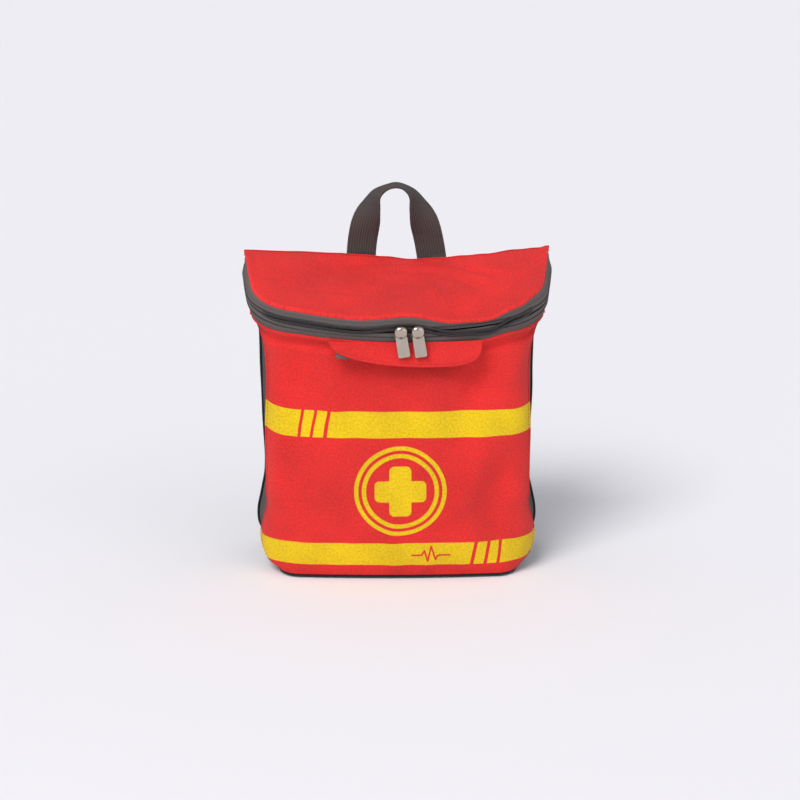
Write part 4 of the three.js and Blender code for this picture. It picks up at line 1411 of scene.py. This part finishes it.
def build_lock(side, sign, place):
    """A ladder lock: two side rails and three bars, in the strap's own frame."""
    origin = on_strap(STRAP["lock"])
    turn = np.array([placed_way(place, way) for way in (ACROSS, UP, OUT)])
    matrix = Matrix(turn.T.tolist()).to_4x4()
    matrix.translation = Vector((place([origin])[0] * MM).tolist())
    parts = []
    stand = Matrix(((0, 0, 1, 0), (1, 0, 0, 0), (0, 1, 0, 0), (0, 0, 0, 1)))
    rail = [(-13, -2.2), (-11.5, -3.3), (-4, -3.4), (11, -3.4), (13, -2.0), (13, 1.2),
            (10.5, 2.6), (4, 3.5), (-3, 3.5), (-10, 2.9), (-13, 1.4)]
    for s in (-1, 1):
        shift = Matrix.Translation((s * 12.3 * MM, 0, 0))
        parts.append(flat_shape(f"ladder_lock_{side}_rail", rail, [], 3.0, 0.6, "plastic",
                                matrix @ shift @ stand))
    for low, high, out, deep in ((9.5, 13.0, 2.4, 2.4), (-1.6, 1.6, -2.3, 2.2),
                                 (-13.0, -9.5, 2.4, 2.4)):
        middle = (low + high) / 2
        bar = rounded((high - low) / 2, deep / 2, 0.7)
        shift = Matrix.Translation((0, middle * MM, out * MM))
        parts.append(flat_shape(f"ladder_lock_{side}_bar", bar, [], 23.0, 0.2, "plastic",
                                matrix @ shift @ stand))
    made = joined(f"ladder_lock_{side}_frame", parts)
    auto_smooth(made, 35)
    done(made, f"strap_end_{side}", "black_plastic", f"ladder_lock_{side}")


def build_straps():
    for side, sign in (("left", -1), ("right", 1)):
        place = strap_place(sign)
        build_pad(side, sign, place)
        build_lock(side, sign, place)
        outside = STRAP["thick"] / 2 + 0.3 + 0.75
        web = straight_web(f"strap_webbing_{side}_strip", place, 0, STRAP["lock"] + 6, 0.0)
        done(web, "shell", "grey_fabric", f"strap_webbing_{side}")
        tail = straight_web(f"strap_tail_{side}_strip", place, STRAP["lock"] - 44,
                            STRAP["lock"] + 3, outside, 0.35)
        done(tail, f"strap_end_{side}", "grey_fabric", f"strap_tail_{side}")
        loop = straight_web(f"strap_loop_{side}_strip", place, STRAP["lock"] + 8,
                            STRAP["lock"] + 56, outside + 0.1)
        done(loop, f"strap_end_{side}", "grey_fabric", f"strap_loop_{side}")
        build_anchor(side, place)


def build_anchor(side, place):
    """The sewn triangle that ties the webbing to the foot of the back."""
    outline = np.array([(-17, 2), (17, 2), (11, 32), (-11, 32)], float)
    rows = [line_mm(outline[0] * (1 - share) + outline[3] * share,
                    outline[1] * (1 - share) + outline[2] * share, 16)
            for share in np.linspace(0, 1, 14)]
    plan = np.array(rows)
    grid = np.stack([plan[..., 0], np.full(plan.shape[:2], BACK_Y + 1.9),
                     STRAP["foot_z"] + plan[..., 1]], axis=2)
    shaped = place(grid.reshape(-1, 3)).reshape(grid.shape)
    cloth = bake(sheet_piece(f"strap_anchor_{side}_cloth", shaped, "red", 1.6, (0, 1, 0),
                             bevel=0.3))
    done(cloth, "shell", "red_fabric", f"strap_anchor_{side}")
    face, foot = BACK_Y + 2.1, STRAP["foot_z"]
    corners = place([(-14, face, foot + 5), (14, face, foot + 5), (8.5, face, foot + 29.5),
                     (-8.5, face, foot + 29.5)])
    rows = [line_mm(corners[i], corners[(i + 1) % 4]) for i in range(4)]
    sewn = stitches(f"strap_anchor_{side}_stitching", rows, [(0, 1, 0)] * 4, "thread_red",
                    2.8, 2.1, 0.2)
    done(sewn, "shell", "red_fabric")


# ---- everything ----------------------------------------------------------------------------
build_front()
build_gussets()
build_lining()
build_back()
build_base()
build_piping()
build_lid()
build_zip()
for hand in ("left", "right"):
    build_slider(hand)
    build_pull(hand)
build_tab()
build_handle()
build_straps()

for hidden, material in (("back_foam", "lining"), ("base_board", "plastic")):
    node = bpy.data.objects[hidden]
    node.data.materials.clear()
    node.data.materials.append(MAT[material])


# ---- floor, light and camera ---------------------------------------------------------------
def paper():
    """A wide, plain floor."""
    grid = np.array([[(x, y, 0.0) for x in (-30000, 30000)] for y in (-30000, 30000)], float)
    made = make_mesh("paper_floor", grid.reshape(-1, 3), grid_faces(2, 2), "paper")


def lamp(name, kind, at, aim, energy):
    data = bpy.data.lights.new(name, kind)
    data.energy = energy
    made = placed(name, data)
    made.location = at
    made.rotation_euler = (Vector(aim) - Vector(at)).to_track_quat("-Z", "Y").to_euler()
    return data


MAT["paper"] = solid("paper", rgb(229, 227, 230), 0.9, grain=0.0, Specular_IOR_Level=0.0)
paper()
key = lamp("key_light", "SUN", (-0.9, -1.6, 2.2), (0, 0, 0.15), 2.25)
key.angle = math.radians(28)
fill = lamp("fill_light", "SUN", (1.6, -1.7, 0.9), (0, 0, 0.15), 0.6)
fill.angle = math.radians(60)
window = lamp("window_light", "AREA", (-0.7, -1.6, 0.9), (0, 0, 0.2), 3.0)
window.shape = "RECTANGLE"
window.size, window.size_y = 0.5, 1.1
world = bpy.data.worlds.new("studio")
world.use_nodes = True
sky = world.node_tree.nodes["Background"]
sky.inputs["Color"].default_value = (0.93, 0.95, 1.0, 1)
sky.inputs["Strength"].default_value = 0.53
bpy.context.scene.world = world
bpy.context.scene.view_settings.view_transform = "Standard"

ELEVATION, AZIMUTH = math.radians(14.76), math.radians(-0.79)
AIM = Vector((0, 0, 0.140))
lens = bpy.data.cameras.new("camera")
lens.lens = 96.5
lens.sensor_width = 36
lens.shift_x = 0.0031
lens.shift_y = 0.0031
camera = placed("camera", lens)
toward = Vector((math.sin(AZIMUTH) * math.cos(ELEVATION),
                 -math.cos(AZIMUTH) * math.cos(ELEVATION), math.sin(ELEVATION)))
camera.location = AIM + toward * 1.8
camera.rotation_euler = (-toward).to_track_quat("-Z", "Y").to_euler()
bpy.context.scene.camera = camera
